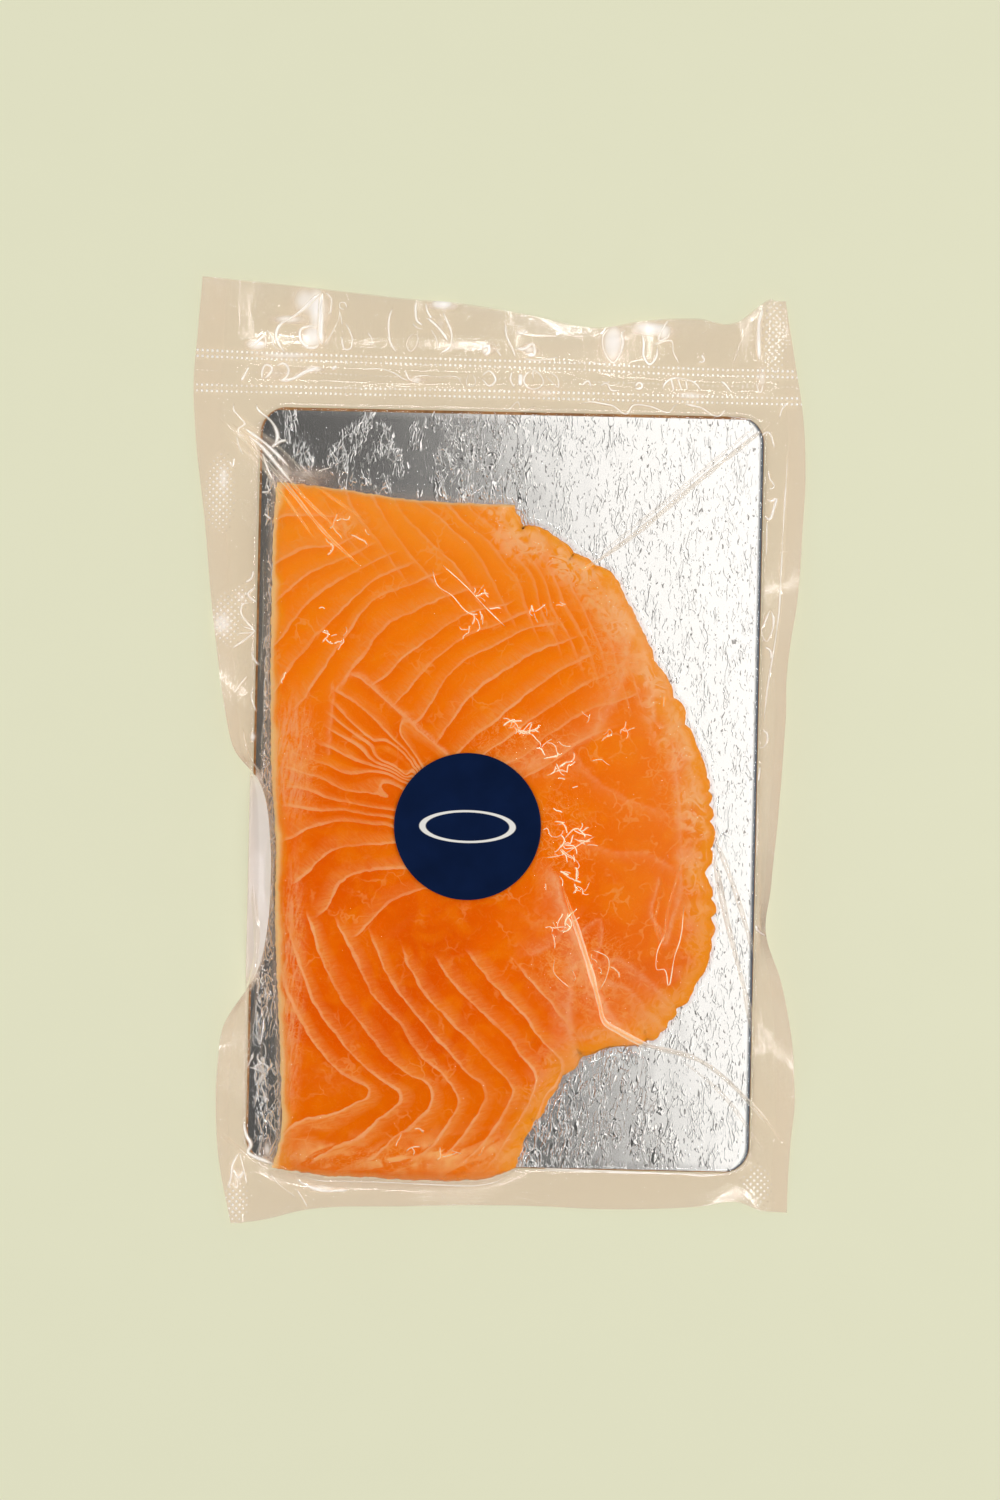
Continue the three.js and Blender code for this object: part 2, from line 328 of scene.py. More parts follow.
def make_piece(name, points, faces, attributes=None, extra_faces=()):
    """Make a mesh object from points in millimetres and faces, with smooth shading."""
    mesh = bpy.data.meshes.new(name)
    all_faces = [list(face) for face in faces] + list(extra_faces)
    mesh.from_pydata((np.asarray(points) * MM).tolist(), [], all_faces)
    mesh.polygons.foreach_set("use_smooth", [True] * len(mesh.polygons))
    for attribute, values in (attributes or {}).items():
        values = np.asarray(values, dtype=np.float32)
        kind = "FLOAT" if values.ndim == 1 else "FLOAT_VECTOR"
        slot = "value" if values.ndim == 1 else "vector"
        mesh.attributes.new(attribute, kind, "POINT").data.foreach_set(slot, values.ravel())
    piece = bpy.data.objects.new(name, mesh)
    bpy.context.collection.objects.link(piece)
    print(name, "has", len(mesh.vertices), "points and", len(mesh.polygons), "faces")
    return piece


def between(field, column, row, c, r, size=None):
    """Value of a table between four of its entries, in the proportions c and r."""
    next_column = column + 1
    next_row = row + 1
    if size is not None:
        column, next_column, row, next_row = (n % size for n in (column, next_column, row, next_row))
    low = field[row, column] * (1 - c) + field[row, next_column] * c
    high = field[next_row, column] * (1 - c) + field[next_row, next_column] * c
    return low * (1 - r) + high * r


def value_noise(x, y, cell_x, cell_y, seed):
    """Soft random hills, from -1 to 1, with one hill to each cell of the given size."""
    random = np.random.default_rng(RANDOM_SEED * 1000 + seed)
    lattice = random.uniform(-1.0, 1.0, (LATTICE, LATTICE))
    column = np.asarray(x) / cell_x + FAR_CELL
    row = np.asarray(y) / cell_y + FAR_CELL
    c0 = np.floor(column).astype(int)
    r0 = np.floor(row).astype(int)
    return between(lattice, c0, r0, smooth(column - c0, 0.0, 1.0), smooth(row - r0, 0.0, 1.0), LATTICE)


def through(rows, places):
    """Smooth curve through rows of (place, value, value...), read at the given places."""
    table = np.array(rows, dtype=float)
    knots = table[:, 0]
    values = table[:, 1:]
    slopes = np.gradient(values, knots, axis=0)
    places = np.clip(np.asarray(places, dtype=float), knots[0], knots[-1])
    index = np.clip(np.searchsorted(knots, places, side="right") - 1, 0, len(knots) - 2)
    span = (knots[index + 1] - knots[index])[..., None]
    t = (places - knots[index])[..., None] / span
    result = ((2 * t**3 - 3 * t**2 + 1) * values[index] + (t**3 - 2 * t**2 + t) * span * slopes[index]
              + (-2 * t**3 + 3 * t**2) * values[index + 1] + (t**3 - t**2) * span * slopes[index + 1])
    return result[..., 0] if values.shape[1] == 1 else result


def walked_along(points):
    """How far along a line each of its points lies."""
    return np.concatenate([[0.0], np.cumsum(np.hypot(*np.diff(points, axis=0).T))])


def curve(points, count):
    """Smooth plan curve through points, as count points evenly spaced along it."""
    points = np.array(points, dtype=float)
    lengths = walked_along(points)
    fine = through(np.column_stack([lengths, points]), np.linspace(0, lengths[-1], count * 6))
    walked = walked_along(fine)
    even = np.linspace(0, walked[-1], count)
    return np.column_stack([np.interp(even, walked, fine[:, axis]) for axis in (0, 1)])


print("A curve through 3 points:", curve([(0, 0), (5, 2), (10, 0)], 3).round(1).tolist())

# %% [markdown]
# The tray card is stamped out of brown board, 152 by 229 mm, and faced with foil. The card
# itself comes ready-shaped from the CAD model, so it only needs its board: pressed brown
# fibres about a millimetre long, with the layers showing as fine lines on the cut edge.
# Board is matt and mottled, so its colour follows the fibres and its roughness is high.

# %% Brown board of the card
BOARD_FIBRE = 1.111
BOARD_LAYER = 0.2  # thickness of a layer of fibres
LAYER_WANDER = 3.333  # how far a layer runs before it changes

board, tree = material("brown_board_pressed_and_die_cut")
place = add("TexCoord").outputs["Object"]
fibre = add("TexNoise", {"Vector": place, "Scale": 1.0 / (BOARD_FIBRE * MM), "Detail": 4.0})
layer_cells = [1.0 / (size * MM) for size in (LAYER_WANDER, LAYER_WANDER, BOARD_LAYER)]
layers = add("Mapping", {"Vector": place, "Scale": layer_cells})
ply = add("TexNoise", {"Vector": layers, "Scale": 1.0, "Detail": 2.0})
brown = add("ValToRGB", [strength(fibre, ply)])
brown_stops = zip(brown.color_ramp.elements, (0.12, 0.45), ("7A5026", "BE8850"))
for element, position, code in brown_stops:
    element.position = position
    element.color = linear(code)
rough_board = add("Bump", {"Height": fibre, "Strength": 0.4, "Distance": 0.05 * MM})
pressed = add("BsdfPrincipled", {"Base Color": brown, "Roughness": 0.85, "Normal": rough_board})
add("OutputMaterial", [pressed])

card = bpy.data.objects["board_card"]
card.data.materials.clear()
card.data.materials.append(board)

# %% [markdown]
# The foil facing is soft aluminium, rolled and then creased by handling: most creases run
# up and down the card, 3 to 6 mm long and under a millimetre wide. Its broad waves are made
# in the mesh, and the sharp creases and the fine dents in the material, because they are
# finer than the mesh. Here the points get their height, and each is told how thickly
# creases and dents lie there.

# %% Crinkled foil facing
CARD = {"width": 152.4, "length": 228.6, "corner": 8.0, "centre": (3.5, -9.9), "top": 1.3}
FOIL_INSET = {"left": 0.7, "right": 0.2, "base": 0.3, "top": 0.9}
FOIL_COLUMNS = 331
FOIL_ROWS = 291
CREASE_HEIGHT = 0.075


def card_half_width(y):
    """Half the card's width at height y on the card, with its rounded corners."""
    beyond = np.clip(np.abs(y) - (CARD["length"] / 2 - CARD["corner"]), 0.0, CARD["corner"])
    return CARD["width"] / 2 - CARD["corner"] + np.sqrt(CARD["corner"] ** 2 - beyond ** 2)


def soft_spot(x, y, centre, reach):
    """1 in the middle of a soft oval spot, falling to 0 outside it."""
    return np.exp(-(((x - centre[0]) / reach[0]) ** 2 + ((y - centre[1]) / reach[1]) ** 2))


def foil_relief(x, y):
    """Soft waves of the foil, and how thickly creases and dents cover it."""
    drift = 1.6 * value_noise(x, y, 9.0, 14.0, 1)
    waves = value_noise(x, y, 22.0, 34.0, 6)
    broad = value_noise(x + drift, y, 5.0, 9.0, 2)
    slant = x + 0.23 * y
    flat_part = smooth(slant, 17.0, 33.0)
    crowded = np.maximum(smooth(slant, -3.0, 7.0), smooth(-y, 55.0, 85.0) * smooth(x, -20.0, 5.0))
    crowded = np.maximum(crowded, smooth(x, -70.3, -69.3) * smooth(-x, 60.0, 64.0) * smooth(-y, -75.0, -60.0))
    sparse = 0.38 * smooth(value_noise(x, y, 5.0, 8.0, 5), 0.0, 0.5) * smooth(x, -71.2, -70.2)
    creased = np.maximum(crowded, sparse) * (1.0 - 0.94 * flat_part)
    dented = 0.25 + 0.75 * flat_part
    return CREASE_HEIGHT * (0.9 * waves + 0.3 * crowded * broad), creased, dented


FOIL_REST = 0.03  # gap to the card's own top where the foil is held down
FOIL_LIFT = 0.09
FOIL_LIMITS = (1.315, 1.49)

along_ends = (FOIL_INSET["base"] - CARD["length"] / 2, CARD["length"] / 2 - FOIL_INSET["top"])
along = np.linspace(*along_ends, FOIL_ROWS)[:, None]
across_share = np.linspace(0.0, 1.0, FOIL_COLUMNS)[None, :]
across = ((1.0 - across_share) * (FOIL_INSET["left"] - card_half_width(along))
          + across_share * (card_half_width(along) - FOIL_INSET["right"]))
foil_x = across + CARD["centre"][0]
foil_y = along + 0 * across + CARD["centre"][1]
edge_gap = np.minimum(card_half_width(along) - np.abs(across), CARD["length"] / 2 - np.abs(along))
hold_down = smooth(edge_gap, 0.0, 2.5)
relief, creased, dented = foil_relief(foil_x, foil_y)
foil_z = np.clip(CARD["top"] + FOIL_REST + hold_down * (FOIL_LIFT + relief * 0.5), *FOIL_LIMITS)
# Painted shade: the foil is darkened along the card's right edge.
shaded_rim_share = 1.0 - smooth(card_half_width(along) - across, 0.7, 1.7)
foil_points = np.stack([foil_x, foil_y, foil_z], axis=-1).reshape(-1, 3)
foil_marks = np.stack([creased, shaded_rim_share, dented], axis=-1).reshape(-1, 3)
foil = make_piece("foil_facing", foil_points, grid_faces(FOIL_ROWS, FOIL_COLUMNS),
                  {"foil_marks": foil_marks})
foil_only.objects.link(foil)
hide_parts("board_foil")
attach(foil, "root")

# %% [markdown]
# Aluminium is a metal, so its colour is in its reflection: the base colour is nearly white,
# and rolled foil is smooth, about 0.15. The eye sees its creases as hard bright and dark
# flecks. Three sets of them are added up as bumps: threads in two sizes, and slim peaks.
# Dents of under a millimetre pit the calmer part, painted darker as shade in the pits. Every
# pattern is stretched up and down the card, the way the foil was rolled. The rim on the right
# is painted darker too, as painted shade along the card's edge.

# %% Aluminium of the foil
# Each set of creases: its cell in mm, how far it wanders, how wide a thread is drawn, and
# its height in mm. The finer set stands for many hair-fine ones, drawn coarser to show.
FOIL_CREASES = [(3.0, 0.8, 0.045, 0.160), (1.9, 0.8, 0.040, 0.055)]
CREASE_STRETCH = 0.40  # of the scale, up and down the card
FOIL_DETAIL = 1.5
CROWD_CELL = 4.5
PEAK_CELL = 1.4
DENT_CELL = 0.75

aluminium, tree = material("aluminium_foil_rolled_and_creased")
place = add("TexCoord").outputs["Object"]
foil_stored = add("Attribute", attribute_name="foil_marks").outputs["Vector"]
creased_value, shaded_rim_value, dented_value = add("SeparateXYZ", [foil_stored]).outputs
upright = add("Mapping", {"Vector": place, "Scale": (1.0, CREASE_STRETCH, 1.0)})
crowd_noise = add("TexNoise", {"Vector": upright, "Scale": 1.0 / (CROWD_CELL * MM),
                               "Detail": FOIL_DETAIL, "Distortion": 0.5})
crowding = add("Math", [creased_value, -0.16, crowd_noise], operation="MULTIPLY_ADD")
creased_at_all = add("Math", [creased_value, 2.0], operation="MULTIPLY", use_clamp=True)
in_places = strength((crowding, 0.40, 0.46, 1.0, 0.0), creased_at_all)
peaks = patches(PEAK_CELL, 0.645, 0.59, 1.0, 0.0, detail=FOIL_DETAIL, wander=0.7, at=upright)
pits = patches(DENT_CELL, 0.295, 0.335, 1.0, 0.0, detail=FOIL_DETAIL, wander=0.6, at=upright)
dents = strength(pits, dented_value)

foil_bumps = []
for cell, wander, drawn, height in FOIL_CREASES:
    ridges = threads(cell, 0.0, drawn, detail=FOIL_DETAIL, wander=wander, at=upright)
    foil_bumps.append((strength(ridges, in_places), 1.0, height))
foil_bumps += [(strength(peaks, creased_at_all), 1.0, 0.14), (dents, 1.0, 0.025)]
crinkled = stacked_bumps(*foil_bumps)

# Painted shade: the right rim of the foil is given a dark grey.
rim_shaded_metal = add("Mix", {"Factor": shaded_rim_value, "A": linear("EFEDE8"), "B": linear("50565C")},
              data_type="RGBA")
# Painted shade: the dents are given a darker grey, as shade in the pits.
pits_shaded_metal = add("Mix", {"Factor": dents, "A": rim_shaded_metal, "B": linear("A09D98")}, data_type="RGBA")
metal = add("BsdfPrincipled", {"Base Color": pits_shaded_metal, "Metallic": 1.0, "Roughness": 0.15,
                               "Normal": crinkled})
add("OutputMaterial", [metal])
foil.data.materials.append(aluminium)
print("Foil waves up to", CREASE_HEIGHT, "mm, and", len(foil_bumps), "sets of creases and dents")

# %% [markdown]
# The fish is one cold-smoked slab, cut square along the left and the ends and left in its
# natural curve on the right, where the thin belly edge is ragged and scalloped. Its plan
# is four curves joined at the corners. A Coons patch fills them with a grid: each point
# is the sum of both pairs of opposite curves less the plane through the corners. The patch
# uses the smooth belly curve, and the scallops are pushed into its outermost millimetres
# afterwards, because rows of points that carried them all the way in would fold over.

# %% Outline of the salmon
SALMON_COLUMNS = 271
SALMON_ROWS = 345
SALMON_LEFT = [(-64.6, -125.4), (-62.2, -117), (-62.0, -104), (-63.0, -84), (-64.6, -60), (-65.2, -40),
               (-65.4, -26), (-67.0, -6), (-67.8, 20), (-68.0, 50), (-67.9, 68), (-67.2, 81.6)]
SALMON_RIGHT = [
    (9, -124), (13, -112.7), (17.6, -105.9), (20.5, -100.5), (24.8, -94.4), (33.7, -88.1), (41.2, -86.2),
    (48.7, -84.8), (57.6, -75), (63.4, -67.3), (66.5, -56.7), (67.5, -47.7), (66.7, -38.7), (64.6, -33.3),
    (66.5, -29.6), (66.6, -20.6), (65.8, -11.6), (63.8, -1.1), (60.4, 6.4), (55.6, 18.3), (50.9, 25.7),
    (46.2, 34.7), (41.8, 43.6), (38.4, 49.5), (34.3, 56.4), (30.6, 58.4), (26.1, 60.7), (18.5, 65.7),
    (12.4, 69.2), (6.6, 71.3), (5.4, 73.2), (4.6, 76.2)
]
SALMON_BASE = [(-64.6, -125.4), (-58.8, -126.1), (-48, -127.4), (-36, -127.7), (-22, -128.2),
               (-8, -128.0), (2, -126.8), (9, -124)]
SALMON_TOP = [(-67.2, 81.6), (-57, 80.8), (-48, 79.8), (-36, 78.1), (-24, 76.9), (-12, 76.5), (4.6, 76.2)]
SCALLOP_LENGTH = 7.5
SCALLOP_DEPTH = 1.6
SCALLOP_REACH = 8.0
RAG_LENGTH = 1.9
TORN_FIBRE = 0.7
RAG_DEPTH = {"left": 0.14, "right": 0.26, "base": 0.22, "top": 0.16}
BASE_SCALLOP = 0.1
SIDE_POINTS = 1200
CORNER_FADE = 4.0
CROWDING = 0.25  # share of the grid's spacing that draws in towards the edges
BATCH = 8192  # points handled at once, to spare memory


def nearest_of(points, x, y):
    """Distance from every (x, y) to the nearest of some points, and which point that is."""
    flat = np.column_stack([np.ravel(x), np.ravel(y)])
    gap = np.empty(len(flat))
    which = np.empty(len(flat), dtype=int)
    for start in range(0, len(flat), BATCH):
        batch = flat[start:start + BATCH]
        square = ((batch[:, None, 0] - points[None, :, 0]) ** 2
                  + (batch[:, None, 1] - points[None, :, 1]) ** 2)
        which[start:start + BATCH] = square.argmin(axis=1)
        gap[start:start + BATCH] = np.sqrt(square.min(axis=1))
    return gap.reshape(np.shape(x)), which.reshape(np.shape(x))


def ragged(points, scallop, rag):
    """A side of the slab with scallops and torn fibres standing off its smooth curve."""
    side = curve(points, SIDE_POINTS)
    walked = walked_along(side)
    direction = np.gradient(side, axis=0)
    direction /= np.hypot(direction[:, 0], direction[:, 1])[:, None]
    outward = np.column_stack([direction[:, 1], -direction[:, 0]])

    def along_side(cell, seed):
        return value_noise(walked, 0 * walked, cell, 1.0, seed)

    phase = walked / SCALLOP_LENGTH + 1.1 * along_side(19.0, 11)
    lobes = np.sqrt(np.abs(np.sin(math.pi * phase))) - 0.8
    depth = scallop * (0.75 + 0.75 * along_side(13.0, 13))
    tears = along_side(RAG_LENGTH, 12) + 0.5 * along_side(TORN_FIBRE, 14)
    fade = smooth(walked, 0.0, CORNER_FADE) * smooth(walked[-1] - walked, 0.0, CORNER_FADE)
    return side + outward * (fade * (depth * lobes + rag * tears))[:, None]


def crowded_to_ends(count):
    """Places from 0 to 1, closer together near both ends."""
    even = np.linspace(-1.0, 1.0, count)
    return 0.5 + 0.5 * ((1.0 - CROWDING) * even + CROWDING * np.sin(even * math.pi / 2))


def slab_plan():
    """Plan grid of the slab, closer together near its edges, where it curves most."""
    v = crowded_to_ends(SALMON_ROWS)
    u = crowded_to_ends(SALMON_COLUMNS)
    left = ragged(SALMON_LEFT, 0.0, RAG_DEPTH["left"])
    right = curve(SALMON_RIGHT, SIDE_POINTS)
    scallops = ragged(SALMON_RIGHT, SCALLOP_DEPTH, RAG_DEPTH["right"])
    base = ragged(SALMON_BASE, BASE_SCALLOP, RAG_DEPTH["base"])
    top = ragged(SALMON_TOP, 0.0, RAG_DEPTH["top"])
    share = np.linspace(0.0, 1.0, SIDE_POINTS)

    def at(side, places):
        return np.column_stack([np.interp(places, share, side[:, axis]) for axis in (0, 1)])

    vv = v[:, None, None]
    uu = u[None, :, None]
    sides = (1 - uu) * at(left, v)[:, None] + uu * at(right, v)[:, None]
    ends = (1 - vv) * at(base, u)[None] + vv * at(top, u)[None]
    corners = ((1 - uu) * (1 - vv) * left[0] + uu * (1 - vv) * right[0]
               + (1 - uu) * vv * left[-1] + uu * vv * right[-1])
    plan = sides + ends - corners
    gap, nearest = nearest_of(right, plan[..., 0], plan[..., 1])
    push = 1.0 - smooth(gap, 0.0, SCALLOP_REACH)
    plan = plan + (scallops - right)[nearest] * push[..., None]
    return plan, {"left": left, "right": scallops, "base": base, "top": top}


plan, salmon_sides = slab_plan()
salmon_x = plan[..., 0]
salmon_y = plan[..., 1]
print("Slab covers", round(float(np.ptp(salmon_x)), 1), "by", round(float(np.ptp(salmon_y)), 1), "mm")

# %% [markdown]
# The thickness comes from how far a point is from each side: the slab is about 10 mm thick,
# rounds off quickly at the cut sides and slopes away gently on the belly side, in a few
# low steps where thinner slices of flesh end. Every later piece asks this same function
# for the height of the fish, so nothing can poke through anything else.

# %% Height of the salmon
SLAB_FLOOR = 1.5
SLAB_HEIGHT = 10.4
SLAB_WALL = 1.2
EDGE_RADIUS = {"left": 4.0, "right": 8.0, "base": 8.0, "top": 5.0}
LEDGES = [(3.0, 0.45), (7.5, 0.55), (14.0, 0.45)]


def distance_to(points, x, y):
    """Distance from every (x, y) to the nearest of some points."""
    return nearest_of(points, x, y)[0]


def inside(outline, x, y):
    """Whether each (x, y) lies inside a closed outline, by counting crossings."""
    crossings = np.zeros(np.shape(x), dtype=int)
    following = np.roll(outline, -1, axis=0)
    for (x0, y0), (x1, y1) in zip(outline, following):
        if y0 == y1:
            continue
        reach = x0 + (y - y0) * (x1 - x0) / (y1 - y0)
        crossings += ((y0 > y) != (y1 > y)) & (x < reach)
    return crossings % 2 == 1


def salmon_top(x, y):
    """Height of the fish's upper face at plan places inside its outline."""
    gap = {name: distance_to(side[::3], x, y) for name, side in salmon_sides.items()}
    height = SLAB_HEIGHT * (1.0 - 0.34 * np.clip((x + 25.0) / 95.0, 0.0, 1.0) ** 2 - 0.1 * (y / 105.0) ** 2)
    height *= 1.0 - 0.30 * (1.0 - smooth(gap["right"], 0.0, 30.0))
    shoulder = np.ones(np.shape(x))
    for name, radius in EDGE_RADIUS.items():
        inward = 1.0 - np.clip(gap[name] / radius, 0.0, 1.0)
        shoulder *= np.sqrt(np.clip(1.0 - inward ** 2, 0.0, 1.0))
    rag = 1.3 * value_noise(x, y, 5.0, 5.0, 21) + 0.6 * value_noise(x, y, 1.8, 1.8, 22)
    step = np.zeros(np.shape(x))
    for inset, drop in LEDGES:
        step += drop * (1.0 - smooth(gap["right"] + rag - inset, -1.0, 1.0))
    swell = 0.30 * value_noise(x, y, 17.0, 17.0, 23) + 0.10 * value_noise(x, y, 6.0, 6.0, 24)
    lift = SLAB_WALL + (height - SLAB_WALL + swell - 0.45 * step) * shoulder
    return SLAB_FLOOR + np.maximum(lift, SLAB_WALL), gap


salmon_z, salmon_gap = salmon_top(salmon_x, salmon_y)
print("Fish stands", round(float(salmon_z.max()), 2), "mm above the table")

# %% [markdown]
# Salmon muscle is built of thin sheets, and between them run sheets of pale fat. A cut
# across them shows the fat as lines in chevrons, about 9 mm apart at the top and 10 mm in
# the tail part, and closer where the belly begins. A few guide lines are given, numbered
# in order. A thin-plate spline, the surface that bends least while passing through given
# values, fills in the numbers between them. Fat then runs wherever the number is whole,
# which gives smooth, evenly varied lines from very few points.

# %% Guide lines of the fat
UPPER_FAT = {
    -4: [(-64.5, 70), (-60.5, 70.6), (-56, 70.8)],
    -3: [(-65.5, 57.5), (-58.5, 61), (-47, 62.6)],
    -2: [(-66, 45), (-58.5, 52), (-46.5, 58.5)],
    -1: [(-66, 33), (-58, 43), (-46, 53.5)],
    0: [(-64.5, 20.5), (-55.5, 33), (-40, 49.5)],
    1: [(-56, 17), (-48, 31.5), (-37.5, 45.5), (-21, 53)],
    3: [(-38, 18.5), (-21.5, 34.5), (-8, 43.5), (2.5, 46)],
    5: [(-21, 12.5), (-13.5, 24.5), (3.5, 36), (16, 40)],
    7: [(-8.5, 3.5), (7.5, 17), (19, 26.5), (28.5, 31)],
    9: [(3, -3), (17, 7), (29, 15), (40, 19)],
}
BACK_FAT = {
    -1: [(-38, 57), (-46, 67), (-54, 79)],
    1: [(-21, 53), (-31.5, 66.5), (-39.5, 79)],
    3: [(2.5, 46), (-5.5, 59.5), (-24, 76.5)],
    5: [(16, 40), (8.5, 56), (-8, 75)],
    7: [(28.5, 31), (20.5, 47.5), (7.5, 69)],
    9: [(40, 19), (34, 36), (24, 58)],
}
BELLY_FAT = {
    0: [(-41.5, 23.5), (-34, 17.5), (-26.5, 11.5), (-13, -1)],
    1: [(-47.5, 18.5), (-39, 13), (-31.5, 5.5), (-22, -6)],
    2: [(-48, 14.5), (-42, 8.5), (-35.5, 2.5), (-27, -5.5)],
    3: [(-47.5, 10), (-40, 4.6), (-32, 1), (-24, -4.5)],
    5: [(-50, 2), (-42.5, -1.6), (-34, -4), (-25, -7)],
    7: [(-58, -6), (-48, -9), (-42, -11), (-31, -13)],
    8: [(-60, -10), (-49, -13.6), (-38.5, -15.6), (-29.5, -16.5)],
    10: [(-59.5, -25.5), (-56.5, -23), (-48, -21), (-32, -21)],
    11: [(-55.5, -36.5), (-51, -31.5), (-44, -28), (-29.5, -27)],
    12: [(-48.5, -45), (-44.5, -39), (-37, -35.5), (-26.5, -33.5)],
    13: [(-37.5, -53), (-32.5, -46.5), (-27, -42.5), (-19.5, -40)],
}
TAIL_FAT = {
    0: [(-61, -69.5), (-56.5, -80), (-52, -88), (-43.5, -95.5), (-34, -101.5), (-44, -106.5),
        (-58, -111.5)],
    1: [(-57, -63.5), (-51.5, -77), (-44.5, -86.5), (-35.5, -95), (-25.5, -102.5), (-32.5, -110),
        (-46, -118.5)],
    2: [(-52, -58), (-44, -74), (-36.5, -84), (-26, -93.5), (-17, -102), (-23, -111),
        (-34, -120)],
    3: [(-42.5, -57), (-36, -70), (-26.5, -82), (-15.5, -93.5), (-8, -102.5), (-13, -111.5),
        (-22.5, -121)],
    4: [(-32, -64), (-26, -72.5), (-17, -82.5), (-7.5, -93), (-1, -101.5), (-5.5, -111),
        (-13, -119.5)],
    5: [(-21.5, -67.5), (-15, -75), (-6.5, -83.5), (1.5, -92.5), (7, -100), (3.5, -109),
        (-3, -117)],
    6: [(-11, -67.5), (-4.5, -74), (3.5, -81.5), (10, -89.5), (15, -96.5), (12.5, -104),
        (7, -113)],
    7: [(-1.5, -65.5), (5, -72.5), (12, -80), (18, -86.5), (23, -92), (22, -97),
        (17.5, -103.5)],
}


GUIDE_SLACK = 3.0  # how far the surface may miss a guide, to stay smooth
AREA_EDGE = 5.0


def thin_plate(guides, x, y):
    """Number at every (x, y): smooth between the guide lines and equal to each on it."""
    knots = []
    values = []
    for number, points in guides.items():
        on_guide = curve(points, 3 * len(points))
        knots.extend(on_guide)
        values.extend([number] * len(on_guide))
    knots = np.array(knots)

    def kernel(square):
        return square * np.log(square + 1e-9)

    count = len(knots)
    square = ((knots[:, None] - knots[None]) ** 2).sum(axis=-1)
    system = np.zeros((count + 3, count + 3))
    system[:count, :count] = kernel(square) + GUIDE_SLACK * np.eye(count)
    system[:count, count:] = np.column_stack([np.ones(count), knots])
    system[count:, :count] = system[:count, count:].T
    weights = np.linalg.solve(system, np.concatenate([values, np.zeros(3)]))
    flat_x = np.ravel(x)
    flat_y = np.ravel(y)
    result = weights[count] + weights[count + 1] * flat_x + weights[count + 2] * flat_y
    for (kx, ky), weight in zip(knots, weights[:count]):
        result += weight * kernel((flat_x - kx) ** 2 + (flat_y - ky) ** 2)
    return result.reshape(np.shape(x))


def soft_area(outline, x, y):
    """1 inside an outline and 0 outside, changing over a soft edge."""
    closed = np.array(outline + outline[:1], dtype=float)
    lengths = np.hypot(*np.diff(closed, axis=0).T)
    rim = np.concatenate([np.linspace(start, end, max(2, int(length)), endpoint=False)
                          for start, end, length in zip(closed[:-1], closed[1:], lengths)])
    away = distance_to(rim, x, y)
    signed = np.where(inside(np.array(outline, dtype=float), x, y), away, -away)
    return smooth(signed, -AREA_EDGE / 2, AREA_EDGE / 2)


# %% Where each family of fat lines lies
UPPER_AREA = [(-72, 18), (-60, 14), (-47, 20), (-41, 24), (-14, 1), (-2, -6), (16, -6), (30, 6), (43, 17),
              (43, 19), (29, 32), (17, 41), (3, 47), (-20, 55), (-44, 66), (-52, 74), (-72, 84)]
BACK_AREA = [(-56, 84), (-46, 62), (-23, 49), (1, 42), (14, 36), (26, 27), (38, 15), (46, 16), (44, 26),
             (30, 56), (5, 84)]
BELLY_AREA = [(-62, -4), (-50, 4), (-48, 20), (-41, 25), (-14, 1), (-18, -12), (-16, -40), (-34, -58),
              (-52, -48), (-62, -34)]
TAIL_AREA = [(-60, -48), (-40, -52), (-20, -62), (0, -58), (14, -66), (28, -84), (18, -112), (4, -122),
             (-62, -122), (-64, -90)]
# Each family: its guides, its area, its strength, and the side of its lines that fades.
FAT_FAMILIES = {
    "upper_fat": (UPPER_FAT, UPPER_AREA, 0.62, -1),
    "back_fat": (BACK_FAT, BACK_AREA, 0.38, -1),
    "belly_fat": (BELLY_FAT, BELLY_AREA, 0.80, -1),
    "tail_fat": (TAIL_FAT, TAIL_AREA, 1.0, 1),
}
WANDER = 0.9  # mm that the lines stray from their guides
PROBE = 0.5  # mm between the places where the slope of the numbers is measured
fat_attributes = {}
wander_x = salmon_x + WANDER * value_noise(salmon_x, salmon_y, 9.0, 9.0, 31)
wander_y = salmon_y + WANDER * value_noise(salmon_x, salmon_y, 9.0, 9.0, 32)
for name, (guides, area, boldness, soft_side) in FAT_FAMILIES.items():
    number = thin_plate(guides, wander_x, wander_y)
    beside = thin_plate(guides, wander_x + PROBE, wander_y)
    above = thin_plate(guides, wander_x, wander_y + PROBE)
    spacing = PROBE / np.maximum(np.hypot(beside - number, above - number), 0.02)
    shown = boldness * soft_area(area, salmon_x, salmon_y)
    shown *= 0.72 + 0.38 * value_noise(salmon_x, salmon_y, 14.0, 14.0, 33)
    fat_attributes[name] = np.stack([soft_side * number, np.clip(spacing, 1.0, 14.0), shown], axis=-1)
    print(name, "lines", len(guides), "median spacing", round(float(np.median(spacing)), 1), "mm")

# %% [markdown]
# Besides the chevrons there are single veins of tissue, and broad pale, amber and deep
# orange areas. Veins are strokes with a crisp side and a soft side. Everything is stored
# on the points of the mesh: the height of the relief, and how pale or amber the flesh is.

